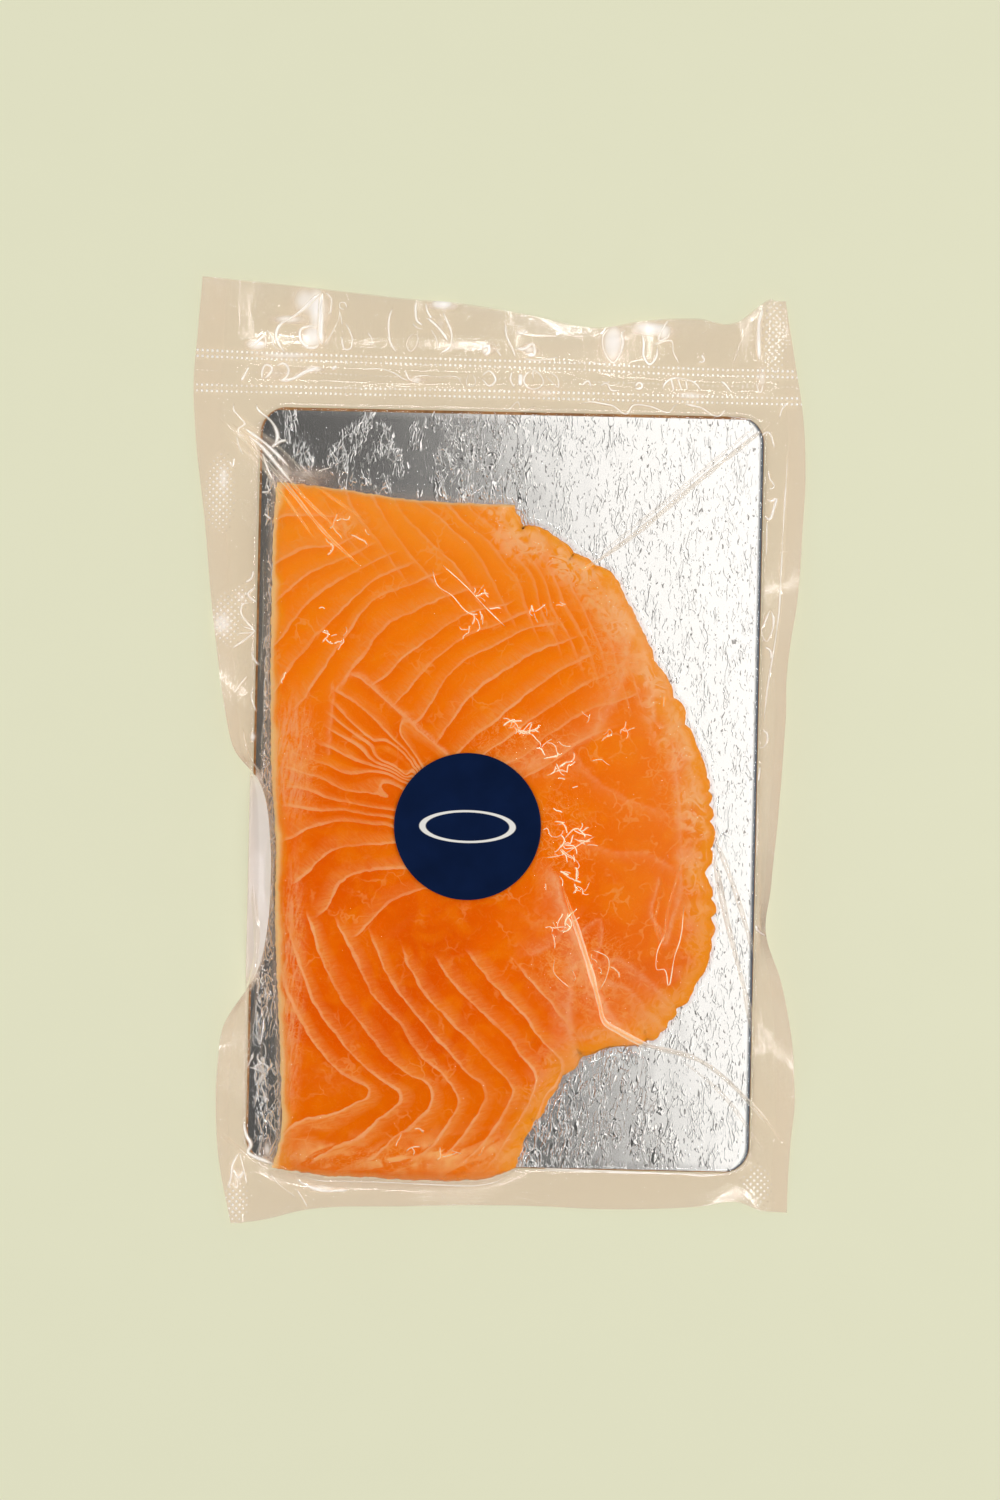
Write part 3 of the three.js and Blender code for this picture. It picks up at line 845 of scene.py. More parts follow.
# %% Veins and pale tissue
# Each vein: its points, its half width in mm, how pale it is, how far its soft side reaches.
VEINS = [
    ([(-47.5, 19.5), (-43.5, 24), (-40.5, 23.5), (-33, 17), (-24, 9.5), (-14, 0.5)], 0.45, 0.7, 0.35),
    ([(-48.5, 20), (-49, 10), (-49.5, 0)], 0.4, 0.4, 0.6),
    ([(19, -36), (24.5, -52), (31, -66), (37, -78), (46, -86)], 1, 0.85, 2.4),
    ([(24, -50), (18, -56), (13, -58.5)], 0.8, 0.4, 2.4),
    ([(26.5, -56), (24.5, -68), (24, -80), (28, -92), (31, -97)], 1.3, 0.6, 3),
    ([(31, -66), (40, -68), (48, -76), (54, -82)], 0.7, 0.45, 2),
    ([(30, -62), (38, -60), (47, -66), (55, -73)], 0.7, 0.45, 2),
    ([(36, -80), (30, -84), (26, -84), (20, -78)], 0.6, 0.4, 1.6),
    ([(27, -52), (32.5, -48), (33, -56), (31, -62)], 0.35, 0.5, 0.8),
    ([(36, 46), (38.5, 36), (38, 26), (34, 16), (30, 8)], 1.6, 0.55, 2.6),
    ([(40, 48), (43.5, 36), (46.5, 24), (47.5, 12)], 1, 0.45, 2.2),
    ([(42, 42), (49, 28), (54, 14), (58, 2), (61, -10)], 0.9, 0.45, 2.4),
    ([(30, 8), (20, 2), (12, -2), (6, -4)], 1.2, 0.4, 2.4),
    ([(54, 4), (56, -14), (57, -30), (56, -44), (53, -54)], 0.45, 0.5, 1),
    ([(50, -36), (49, -48), (50.5, -50), (52.5, -55), (54.5, -46)], 0.35, 0.7, 0.5),
    ([(22, 4), (30, -6), (40, -12), (52, -16)], 0.5, 0.3, 1.6),
    ([(27, -24), (36, -28), (46, -28), (54, -32)], 0.5, 0.3, 1.4),
]
# Each pale patch: its centre, its reach and how pale it is.
PALE_PATCHES = [
    ((31, 49), (8, 5), 0.8), ((36, 40), (4.5, 8), 0.85), ((54, 10), (4, 12), 0.6),
    ((14, -2), (10, 4), 0.35), ((26, -66), (9, 7), 0.5), ((36, -74), (9, 6), 0.4), ((61, -8), (4, 9), 0.6),
    ((-47, 68), (9, 5), 0.42), ((-60, 0), (5, 12), 0.3), ((-10, -119.5), (14, 5.5), 1),
    ((-46, -119.5), (12, 5), 0.85), ((3, -117.5), (7, 4.5), 0.85), ((-48, -98), (5, 3), 0.25),
    ((14, -48), (6, 4), 0.25), ((-28, -121.5), (13, 4), 0.9), ((-58, -60), (3, 9), 0.15),
    ((-60, -92), (3, 14), 0.15), ((-40, -123), (10, 2.5), 0.45)
]
# Places where loose fibres of tissue show: centre and reach in mm.
FIBRE_PLACES = [
    ((-59, -2), (8, 18)), ((36, 36), (9, 18)), ((56, 0), (8, 18)), ((28, -62), (15, 14)),
    ((-59, -70), (4, 36)), ((-20, -121), (44, 4)), ((8, 4), (16, 9)), ((20, -24), (9, 14))
]
STROKE_POINTS = 60
STROKE_REACH = 6.0  # mm beside a stroke within which it is worked out
FAR_AWAY = 99.0


def stroke(points, x, y):
    """Signed distance to a drawn line: positive on its left side, far away elsewhere."""
    drawn = curve(points, STROKE_POINTS)
    low = drawn.min(axis=0) - STROKE_REACH
    high = drawn.max(axis=0) + STROKE_REACH
    near = (x > low[0]) & (x < high[0]) & (y > low[1]) & (y < high[1])
    result = np.full(np.shape(x), FAR_AWAY)
    near_x = x[near]
    near_y = y[near]
    best = np.full(near_x.shape, np.inf)
    signed = np.full(near_x.shape, FAR_AWAY)
    for (x0, y0), (x1, y1) in zip(drawn[:-1], drawn[1:]):
        run_x = x1 - x0
        run_y = y1 - y0
        along_run = ((near_x - x0) * run_x + (near_y - y0) * run_y) / (run_x ** 2 + run_y ** 2)
        along_run = np.clip(along_run, 0.0, 1.0)
        away_x = near_x - x0 - along_run * run_x
        away_y = near_y - y0 - along_run * run_y
        away = np.hypot(away_x, away_y)
        closer = away < best
        best = np.where(closer, away, best)
        signed = np.where(closer, np.where(run_x * away_y - run_y * away_x > 0, away, -away), signed)
    result[near] = signed
    return result


vein = np.zeros(salmon_x.shape)
wobble = 0.35 * value_noise(salmon_x, salmon_y, 2.4, 2.4, 41)
for points, half_width, paleness, softness in VEINS:
    away = stroke(points, salmon_x, salmon_y) + wobble
    core = np.where(away > 0, np.exp(-(away / half_width) ** 2), np.exp(-np.abs(away) / softness))
    vein = np.maximum(vein, paleness * core)

pale = np.zeros(salmon_x.shape)
tattered = (1.0 + 0.7 * value_noise(salmon_x, salmon_y, 4.5, 4.5, 42)
            + 0.5 * value_noise(salmon_x, salmon_y, 1.9, 1.9, 43))
for centre, reach, paleness in PALE_PATCHES:
    pale = np.maximum(pale, paleness * soft_spot(salmon_x, salmon_y, centre, reach) * tattered)
fibrous = np.zeros(salmon_x.shape)
for centre, reach in FIBRE_PLACES:
    fibrous = np.maximum(fibrous, soft_spot(salmon_x, salmon_y, centre, reach))
print("Veins", len(VEINS), "and pale patches", len(PALE_PATCHES))

# %% Amber, pale and ragged rims
rim_noise = 1.0 + 0.5 * value_noise(salmon_x, salmon_y, 5.0, 5.0, 44)
nearest_end = np.minimum(salmon_gap["top"], salmon_gap["base"])
# Thin flesh at the rims lets more light through: how amber each rim is, at most.
amber = np.maximum.reduce([
    0.85 * (1.0 - smooth(salmon_gap["right"], 1.5, 11.0 * rim_noise)),
    0.80 * (1.0 - smooth(salmon_gap["left"], 0.8, 4.5 * rim_noise)),
    0.40 * (1.0 - smooth(nearest_end, 0.5, 2.5)),
    0.90 * soft_spot(salmon_x, salmon_y, (-63.0, -122.0), (4.5, 6.0)),
])
pale_rim = np.maximum(1.0 - smooth(salmon_gap["left"], 0.3, 2.6 * rim_noise),
                      0.7 * (1.0 - smooth(salmon_gap["top"], 0.2, 1.3)))
ragged_rim = (1.0 - smooth(salmon_gap["right"], 6.0, 13.0)) * smooth(salmon_gap["right"], 0.8, 3.0)
print("Amber covers", round(100 * float((amber > 0.4).mean())), "% of the fish")

# %% [markdown]
# Fat stands a little proud of the muscle and muscle sinks a little between, so the same
# numbers also shape the mesh. The slab is closed: a ring of points on the foil mirrors the
# rim above, walls join the two, and one face closes the underside.

# %% Salmon mesh
FAT_PROUD = 0.16
MUSCLE_SINKS = 0.10
VEIN_PROUD = 0.14
FOOT_GAP = 0.02
FOOT_INSET = 0.008  # share of the way to the middle, so that the walls lean in

fat_relief = np.zeros(salmon_x.shape)
for values in fat_attributes.values():
    number, spacing, shown = np.moveaxis(values, -1, 0)
    away = (number + 0.5) % 1.0 - 0.5
    fat_relief += FAT_PROUD * shown * np.exp(-(away * spacing / 0.7) ** 2)
    fat_relief += MUSCLE_SINKS * shown * np.cos(away * math.pi) ** 2 - MUSCLE_SINKS * shown
keep = smooth(salmon_gap["left"], 0.5, 3.0) * smooth(salmon_gap["right"], 0.5, 3.0)
keep *= smooth(nearest_end, 0.5, 3.0)
salmon_z = salmon_z + keep * (fat_relief + VEIN_PROUD * vein)

skin = np.stack([salmon_x, salmon_y, salmon_z], axis=-1)
rim_index = np.concatenate([
    np.arange(SALMON_COLUMNS),
    np.arange(1, SALMON_ROWS) * SALMON_COLUMNS + SALMON_COLUMNS - 1,
    (SALMON_ROWS - 1) * SALMON_COLUMNS + np.arange(SALMON_COLUMNS - 2, -1, -1),
    np.arange(SALMON_ROWS - 2, 0, -1) * SALMON_COLUMNS,
])
rim = skin.reshape(-1, 3)[rim_index].copy()
centre_of_slab = rim.mean(axis=0)
foot = rim.copy()
foot[:, 2] = SLAB_FLOOR + FOOT_GAP
foot[:, :2] += (centre_of_slab[:2] - foot[:, :2]) * FOOT_INSET
points = np.concatenate([skin.reshape(-1, 3), foot])
first_foot = SALMON_ROWS * SALMON_COLUMNS
ring = np.arange(len(rim_index))
following = np.roll(ring, -1)
wall_faces = np.stack([first_foot + ring, first_foot + following,
                       rim_index[following], rim_index[ring]], axis=-1)
faces = np.concatenate([grid_faces(SALMON_ROWS, SALMON_COLUMNS), wall_faces])
underside = [tuple(int(first_foot + i) for i in ring[::-1])]


def on_slab(values):
    """Attribute values for the upper face and the foot ring together."""
    flat = values.reshape(first_foot, -1)
    joined = np.concatenate([flat, flat[rim_index]])
    return joined[:, 0] if values.ndim == 2 else joined


slab_attributes = {name: on_slab(values) for name, values in fat_attributes.items()}
slab_attributes["tissue"] = on_slab(np.stack([vein, pale, amber], axis=-1))
slab_attributes["fibrous"] = on_slab(np.stack([fibrous, pale_rim, ragged_rim], axis=-1))
salmon = make_piece("salmon_slab", points, faces, slab_attributes, underside)
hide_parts("salmon")
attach(salmon, "root")

# %% [markdown]
# Smoked salmon is soft, oily flesh: light goes a few millimetres in and comes out warmer,
# which is subsurface scattering. A fat line is found from its stored number: the fraction
# tells how far away the nearest line is, and times the spacing that is a distance in
# millimetres. One side of each line is drawn crisp and the other fades, because the sheets
# of fat dip into the flesh. The fade is broken up by streaks of muscle fibre, about a
# millimetre wide, which run one way in the tail part and another way above.

# %% Streaks and fat lines of the flesh
TAIL_STREAKS = 14.0
UPPER_STREAKS = -38.0
STREAK_WIDTH = 0.75
WOBBLE_CELL = 3.6
WOBBLE = 1.5
CORE_FADE = 0.60
FADE_SHARE = 0.55  # of the way to the next line
FADE_LIMIT = 5.0

flesh, tree = material("salmon_flesh_cold_smoked_and_sliced")
place = add("TexCoord").outputs["Object"]
place_in_mm = add("VectorMath", {0: place, "Scale": 1.0 / MM}, operation="SCALE")
across_slab, up_slab, _ = add("SeparateXYZ", [place_in_mm]).outputs


def strongest(masks):
    """The strongest of several masks at each point."""
    total = masks[0]
    for mask in masks[1:]:
        total = add("Math", [total, mask], operation="MAXIMUM")
    return total


def streaks(angle, width, low=0.34, high=0.66, start=0.0, stretch=5.0, detail=3.0, wander=0.5):
    """Brush-like streaks of muscle fibre, of a width in mm, that run at an angle, in degrees."""
    turned = add("Mapping", {"Vector": place, "Rotation": (0.0, 0.0, math.radians(angle)),
                             "Scale": (stretch, 1.0, 1.0)}, vector_type="TEXTURE")
    return patches(width, low, high, start, detail=detail, wander=wander, at=turned)


brushed = add("Mix", {"Factor": strength((up_slab, -50.0, -30.0)),
                      "A": streaks(TAIL_STREAKS, STREAK_WIDTH),
                      "B": streaks(UPPER_STREAKS, STREAK_WIDTH)})
wobble_noise = add("TexNoise", {"Vector": place, "Scale": 1.0 / (WOBBLE_CELL * MM), "Detail": 4.0})
wobbly = add("Math", [wobble_noise, WOBBLE, -WOBBLE / 2], operation="MULTIPLY_ADD")
core_width = patches(7.0, 0.35, 0.65, 0.05, 0.50)
comes_and_goes = patches(12.0, 0.38, 0.58, 0.45, 1.0, detail=3.0, wander=0.6)
fat_cores = []
fat_fades = []
fat_shadows = []
for name in FAT_FAMILIES:
    stored_lines = add("Attribute", attribute_name=name).outputs["Vector"]
    line_number, line_spacing, line_shown = add("SeparateXYZ", [stored_lines]).outputs
    shifted = add("Math", [line_number, 0.5], operation="ADD")
    part_way = add("Math", [shifted], operation="FRACT")
    from_line = add("Math", [part_way, 0.5], operation="SUBTRACT")
    jitter = strength(wobbly, (line_spacing, 2.0, 8.0, 0.35, 1.0))
    away_in_mm = add("Math", [from_line, line_spacing, jitter], operation="MULTIPLY_ADD")
    crisp = strength((away_in_mm, -0.28, 0.02))
    past_core = add("Math", [away_in_mm, core_width], operation="SUBTRACT")
    to_next = add("Math", [line_spacing, FADE_SHARE], operation="MULTIPLY")
    fade_reach = add("Math", [to_next, FADE_LIMIT], operation="MINIMUM")
    faded = add("Math", [away_in_mm, fade_reach], operation="DIVIDE")
    left_over = add("Math", [1.0, faded], operation="SUBTRACT", use_clamp=True)
    fade = add("Math", [left_over, 1.2], operation="POWER")
    fat_cores.append(strength((past_core, 0.0, CORE_FADE, 1.0, 0.0), crisp, line_shown, comes_and_goes))
    fat_fades.append(strength(fade, (brushed, 0.0, 1.0, 0.65, 1.35), crisp, line_shown))
    fat_shadows.append(strength((away_in_mm, -4.0, -0.1), (away_in_mm, -0.1, 0.1, 1.0, 0.0), line_shown))
fat_line = strongest(fat_cores)
fat_band = strongest(fat_fades)
fat_shadow = strongest(fat_shadows)
print("Fat lines take", len(tree.nodes), "nodes")

# %% [markdown]
# Between the fat lie finer things: a net of connective tissue with meshes of 7 to 8 mm,
# hairs and strands of torn fibre where the flesh was handled, fibres combed down the left
# side, and pale islands along the ragged belly edge. The real hairs are a tenth of a
# millimetre thick, too fine to show, so they are drawn two or three times as wide.

# %% Net, hairs and islands of tissue
NET_MESH = 7.5
NET_WARP_CELL = 5.0
NET_WARP = 9.0
HAIR_CELL = 3.6
STRAND_CELL = 6.5
COMBED_WIDTH = 0.9
SIDE_STREAKS = 82.0
ISLAND_CELL = 6.0
BASE_STREAKS = 24.0
TORN_WIDTH = 3.4
TORN_CELL = 3.2

tissue_marks = add("Attribute", attribute_name="tissue").outputs["Vector"]
vein_value, pale_value, amber_value = add("SeparateXYZ", [tissue_marks]).outputs
fibrous_marks = add("Attribute", attribute_name="fibrous").outputs["Vector"]
fibrous_value, pale_rim_value, ragged_value = add("SeparateXYZ", [fibrous_marks]).outputs

warp_noise = add("TexNoise", {"Vector": place, "Scale": 1.0 / (NET_WARP_CELL * MM)})
warp = add("VectorMath", {0: warp_noise.outputs["Color"], "Scale": NET_WARP * MM}, operation="SCALE")
warped = add("VectorMath", [place, warp], operation="ADD")
mesh_edges = add("TexVoronoi", {"Vector": warped, "Scale": 1.0 / (NET_MESH * MM)},
                 feature="DISTANCE_TO_EDGE")
net_on_the_right = strength((across_slab, 8.0, 35.0), patches(6.0, 0.48, 0.62, detail=3.0, wander=1.0))
net_shown = strongest([patches(11.0, 0.48, 0.70), net_on_the_right])
net = strength((mesh_edges, 0.008, 0.065, 1.0, 0.0), net_shown)

hairs = strength(threads(HAIR_CELL, 0.004, 0.028, detail=1.5, wander=1.8),
                 (fibrous_value, 0.1, 0.7, 0.22, 0.95))
strands = strength(threads(STRAND_CELL, 0.0, 0.045, detail=3.0, wander=2.4), (fibrous_value, 0.15, 0.8))
combed = strength(streaks(SIDE_STREAKS, COMBED_WIDTH), (across_slab, -52.0, -60.0), (fibrous_value, 0.1, 0.7))
island_rims = threads(ISLAND_CELL, 0.020, 0.090, 0.8, detail=2.5, wander=1.4)
pale_fields = patches(5.2, 0.47, 0.60, 0.0, 0.65, wander=0.9)
islands = strength(strongest([island_rims, pale_fields]), ragged_value, patches(13.0, 0.36, 0.52),
                   (up_slab, -60.0, -10.0, 0.30, 1.0))
torn = add("Mix", {"Factor": strength((up_slab, -110.0, -100.0)),
                   "A": streaks(BASE_STREAKS, TORN_WIDTH, 0.42, 0.56, 0.05, 3.6, 1.5, 0.8),
                   "B": patches(TORN_CELL, 0.40, 0.60, 0.20, 1.10, detail=2.5, wander=1.5)})
print("With tissue it is", len(tree.nodes), "nodes")

# %% [markdown]
# The colour is laid on in layers, as a painter would: two oranges that drift into each
# other, then each mask with its own tint, from the broad warm areas to the fat and the pale
# rim. Oil makes the surface smooth, but under film it hardly shines, so its specular level
# is low. Muscle fibres of half a millimetre give it a faint grain.

# %% Layers of colour
# Each layer: its mask, how strongly it is laid on, and its colour.
FLESH_LAYERS = [
    ((up_slab, -70.0, 80.0), 0.85, "FF8A10"),  # lighter orange towards the top
    ((up_slab, 35.0, 85.0), 0.60, "FFA034"),
    (patches(9.0, 0.42, 0.72, detail=4.0, wander=0.8), 0.40, "F98C0C"),
    # Painted shade: the next layer darkens the flesh on the crisp side of each fat line.
    (fat_shadow, 0.50, "E85400"),  # deeper flesh on the crisp side of the fat
    ((up_slab, -85.0, -108.0), 0.55, "EC7400"),
    ((across_slab, 20.0, 62.0), 0.28, "F29040"),  # thinner flesh towards the belly
    (amber_value, 0.75, "F5A020"),
    (hairs, 0.42, "F6A450"),
    (strands, 0.45, "F5A65C"),
    (combed, 0.60, "F2AE78"),
    (net, 0.42, "F6A85C"),
    (islands, 0.90, "FABE88"),
    (strength(pale_value, torn), 0.90, "F7AE68"),
    (strength(vein_value, (torn, 0.2, 1.1, 0.60, 0.95)), 1.0, "F6B480"),
    (fat_band, 0.95, "F39B50"),
    (fat_line, 0.85, "F7B47C"),
    (pale_rim_value, 0.90, "F7CC8E"),
]
DRIFT_CELL = 34.0
MUSCLE_FIBRE = 0.5

colour = add("Mix", {"Factor": patches(DRIFT_CELL, 0.35, 0.65, detail=3.0), "A": linear("E85C00"),
                     "B": linear("F26C00")}, data_type="RGBA")
for mask, amount, code in FLESH_LAYERS:
    colour = add("Mix", {"Factor": strength(mask, amount), "A": colour, "B": linear(code)},
                 data_type="RGBA")

fibre_noise = add("TexNoise", {"Vector": place, "Scale": 1.0 / (MUSCLE_FIBRE * MM), "Detail": 4.0,
                               "Distortion": 0.5})
fibres = add("Math", [fat_line, 0.6, fibre_noise], operation="MULTIPLY_ADD")
surface = add("Bump", {"Height": fibres, "Strength": 0.35, "Distance": 0.25 * MM})
wet = add("BsdfPrincipled", {"Base Color": colour, "Roughness": 0.45, "Specular IOR Level": 0.03,
                             "Subsurface Weight": 0.35, "Subsurface Radius": (1.0, 0.35, 0.12),
                             "Subsurface Scale": 2.5 * MM, "Normal": surface})
add("OutputMaterial", [wet])
salmon.data.materials.append(flesh)
print("Flesh material has", len(tree.nodes), "nodes")

# %% [markdown]
# The pouch is two webs of clear film. Where there is nothing between them they lie as one
# flat border; over the tray the front web is sucked down onto the card and the fish. Film
# under vacuum can't fall straight down a wall, though: it makes a steep slope. To get that
# slope, the height of the contents is written on a fine raster, and spread outwards again
# and again, losing a little height at each step. The highest value wins everywhere.

# %% Height of the contents under the film
RASTER = 0.6
FILM_SLOPE = 1.35
SPREAD_STEPS = 22
FOIL_LEVEL = 1.5
RASTER_X = (-84.0, 92.0)
RASTER_Y = (-140.0, 116.0)
TABLE_LEVEL = 0.05
FILM_CLEAR_OF_FISH = 0.22
raster_x = np.arange(*RASTER_X, RASTER)
raster_y = np.arange(*RASTER_Y, RASTER)
grid_x, grid_y = np.meshgrid(raster_x, raster_y)


def card_margin(x, y):
    """How far inside the card's edge a place lies; below 0 beyond it."""
    from_centre_x = np.abs(x - CARD["centre"][0])
    from_centre_y = np.abs(y - CARD["centre"][1])
    return np.minimum(card_half_width(y - CARD["centre"][1]) - from_centre_x,
                      CARD["length"] / 2 - from_centre_y)


contents = np.where(card_margin(grid_x, grid_y) > 0.0, FOIL_LEVEL, TABLE_LEVEL)
slab_outline = np.concatenate([salmon_sides["base"][::6], salmon_sides["right"][::6],
                               salmon_sides["top"][::-6], salmon_sides["left"][::-6]])
in_slab = inside(slab_outline, grid_x, grid_y)
slab_height, _ = salmon_top(grid_x[in_slab], grid_y[in_slab])
contents[in_slab] = slab_height + FILM_CLEAR_OF_FISH


def spread(height, slope, steps):
    """Let a height field spread outwards, falling by slope for every millimetre."""
    for _ in range(steps):
        grown = height.copy()
        for dy, dx in ((0, 1), (1, 0), (1, 1), (1, -1)):
            fall = slope * RASTER * math.hypot(dy, dx)
            for sign in (1, -1):
                grown = np.maximum(grown, np.roll(height, (sign * dy, sign * dx), axis=(0, 1)) - fall)
        height = grown
    return height


def soften(height, passes):
    """Average each point with its neighbours, a few times over."""
    for _ in range(passes):
        for axis in (0, 1):
            height = (np.roll(height, 1, axis) + 2 * height + np.roll(height, -1, axis)) / 4
    return height


draped = spread(contents, FILM_SLOPE, SPREAD_STEPS)
draped = np.maximum(soften(draped, 3), contents + 0.05) + 0.05


def read_raster(field, x, y):
    """Value of a raster field at any places, between its points in proportion."""
    column = np.clip((x - raster_x[0]) / RASTER, 0, len(raster_x) - 1.001)
    row = np.clip((y - raster_y[0]) / RASTER, 0, len(raster_y) - 1.001)
    c0 = column.astype(int)
    r0 = row.astype(int)
    return between(field, c0, r0, column - c0, row - r0)


print("Film stands up to", round(float(draped.max()), 2), "mm; the fish covers", int(in_slab.sum()), "cells")

# %% [markdown]
# The border is drawn as a strip that leaves the card's edge and may bend up, or right over
# at the waist on the left, where it lies folded on the tray. Each row of a table gives a
# place along the edge, the strip's real width and the angle of its fold. The mouth and the
# base have a reach and a lift instead. Both webs come from this one surface.

# %% Border of the pouch
FOLD_RADIUS = 1.0
# Place along the edge in mm, width of the strip in mm, fold in degrees.
LEFT_BORDER = [(-143, 3.8, 0), (-124, 8, 6), (-104, 9.4, 10), (-84, 8.9, 30), (-76, 9.4, 70), (-68, 9.6, 108),
               (-50, 9.8, 148), (-22, 9.8, 150), (-8, 9.6, 112), (0, 9.6, 62), (10, 10, 36), (21.5, 11, 22),
               (45.6, 13.9, 10), (70, 16.4, 4), (94, 19.5, 2), (112, 20.6, 0), (127, 19.6, 0), (143, 18.4, 0)]
RIGHT_BORDER = [
    (-136, 11.8, 0), (-126, 11.9, 3), (-114, 12.5, 4), (-102, 13.5, 5), (-96, 13.2, 10), (-78, 12.9, 34),
    (-66, 12.5, 54), (-54, 12, 74), (-47, 12, 80), (-35, 12, 76), (-23, 12, 69), (-5, 12, 62), (13, 12, 56),
    (31, 12, 48), (49, 12, 28), (67, 12.1, 12), (86, 12.7, 6), (104, 11.7, 8), (122, 8.6, 4), (139, 5.5, 3)
]
# Place across the pouch in mm, reach of the flange in mm, lift of its outer edge in mm.
MOUTH_BORDER = [
    (-91, 38.8, 2), (-79.7, 37.6, 4), (-61.6, 35.9, 5), (-31, 33.5, 1), (-7, 31, 5), (11, 27.8, 7),
    (23, 25, 9), (30, 24.8, 9), (41, 27.5, 5), (59, 29.1, 2), (71, 28.4, 2), (76.5, 32.5, 5), (79, 34.3, 6),
    (85, 34.7, 4), (91, 35, 2)
]
BASE_BORDER = [(-80, 18.2, 2), (-76, 18.2, 2), (-67.9, 17.4, 1), (-55.8, 14.4, 0), (-25.6, 12.3, 1),
      (10, 11.5, 0),
               (41, 11.8, 1), (65, 10.3, 2), (76.6, 8.6, 3), (83.3, 11.2, 1), (91.5, 11.9, 0)]
CARD_LEFT = CARD["centre"][0] - CARD["width"] / 2
CARD_BASE = CARD["centre"][1] - CARD["length"] / 2
BORDER_REACH = {"left": 19.0, "right": 12.0}
SEAL_LEVEL = 0.15
LIFT_CURVE = 1.7
# Grid lines of the film: on the first border, on the card, and on the border beyond it.
FILM_COLUMNS = (26, 218, 19)
FILM_ROWS = (16, 254, 71)


def stations(before, middle, after):
    """Where the grid lines go: from -1 to 0 on one border, 0 to 1 on the card, 1 to 2 beyond."""
    return np.concatenate([np.linspace(-1, 0, before, endpoint=False),
                           np.linspace(0, 1, middle, endpoint=False),
                           np.linspace(1, 2, after)])


def folded_run(run, degrees):
    """Where a strip gets to, outwards and upwards, that bends by an angle and goes straight on."""
    angle = np.radians(degrees) + 1e-6
    bend = FOLD_RADIUS * angle
    turned = np.minimum(run, bend) / FOLD_RADIUS
    straight = np.maximum(run - bend, 0.0)
    out = FOLD_RADIUS * np.sin(turned) + straight * np.cos(angle)
    up = FOLD_RADIUS * (1 - np.cos(turned)) + straight * np.sin(angle)
    return out, up


def seal_surface(column, row):
    """The surface where the two webs meet, for grids of column and row stations."""
    left = np.clip(-column, 0, 1)
    right = np.clip(column - 1, 0, 1)
    base = np.clip(-row, 0, 1)
    mouth = np.clip(row - 1, 0, 1)
    x = CARD_LEFT + np.clip(column, 0, 1) * CARD["width"]
    guess = x - BORDER_REACH["left"] * left + BORDER_REACH["right"] * right
    mouth_reach, mouth_lift = np.moveaxis(through(MOUTH_BORDER, guess), -1, 0)
    base_reach, base_lift = np.moveaxis(through(BASE_BORDER, guess), -1, 0)
    y = CARD_BASE + np.clip(row, 0, 1) * CARD["length"] + mouth * mouth_reach - base * base_reach
    z = SEAL_LEVEL + mouth_lift * mouth ** LIFT_CURVE + base_lift * base ** LIFT_CURVE
    for share, border, sign, seed in ((left, LEFT_BORDER, -1, 51), (right, RIGHT_BORDER, 1, 52)):
        width, fold = np.moveaxis(through(border, y), -1, 0)
        unevenness = np.minimum(fold * 0.12, 5.0) * value_noise(0 * y, y, 1.0, 13.0, seed)
        out, up = folded_run(share * width, np.clip(fold + unevenness, 0.0, 160.0))
        x = x + sign * out
        z = z + up
    return x, y, z


film_column, film_row = np.meshgrid(stations(*FILM_COLUMNS), stations(*FILM_ROWS))
edge_x, _, _ = seal_surface(np.array([-1.0, 2.0]), np.array([0.5, 0.5]))
print("Pouch is", round(float(edge_x[1] - edge_x[0]), 1), "mm wide halfway up; grid", film_column.shape)

# %% [markdown]
# Film shows itself by its folds. Where a corner of the card pulls on the fish, the film
# stands in a thin taut ridge from one to the other; in the open lips above the seals it
# buckles in soft loops. Each crease is a line with a half width and a height, raised on
# the film's own mesh, so that it catches the lamps on both of its flanks.

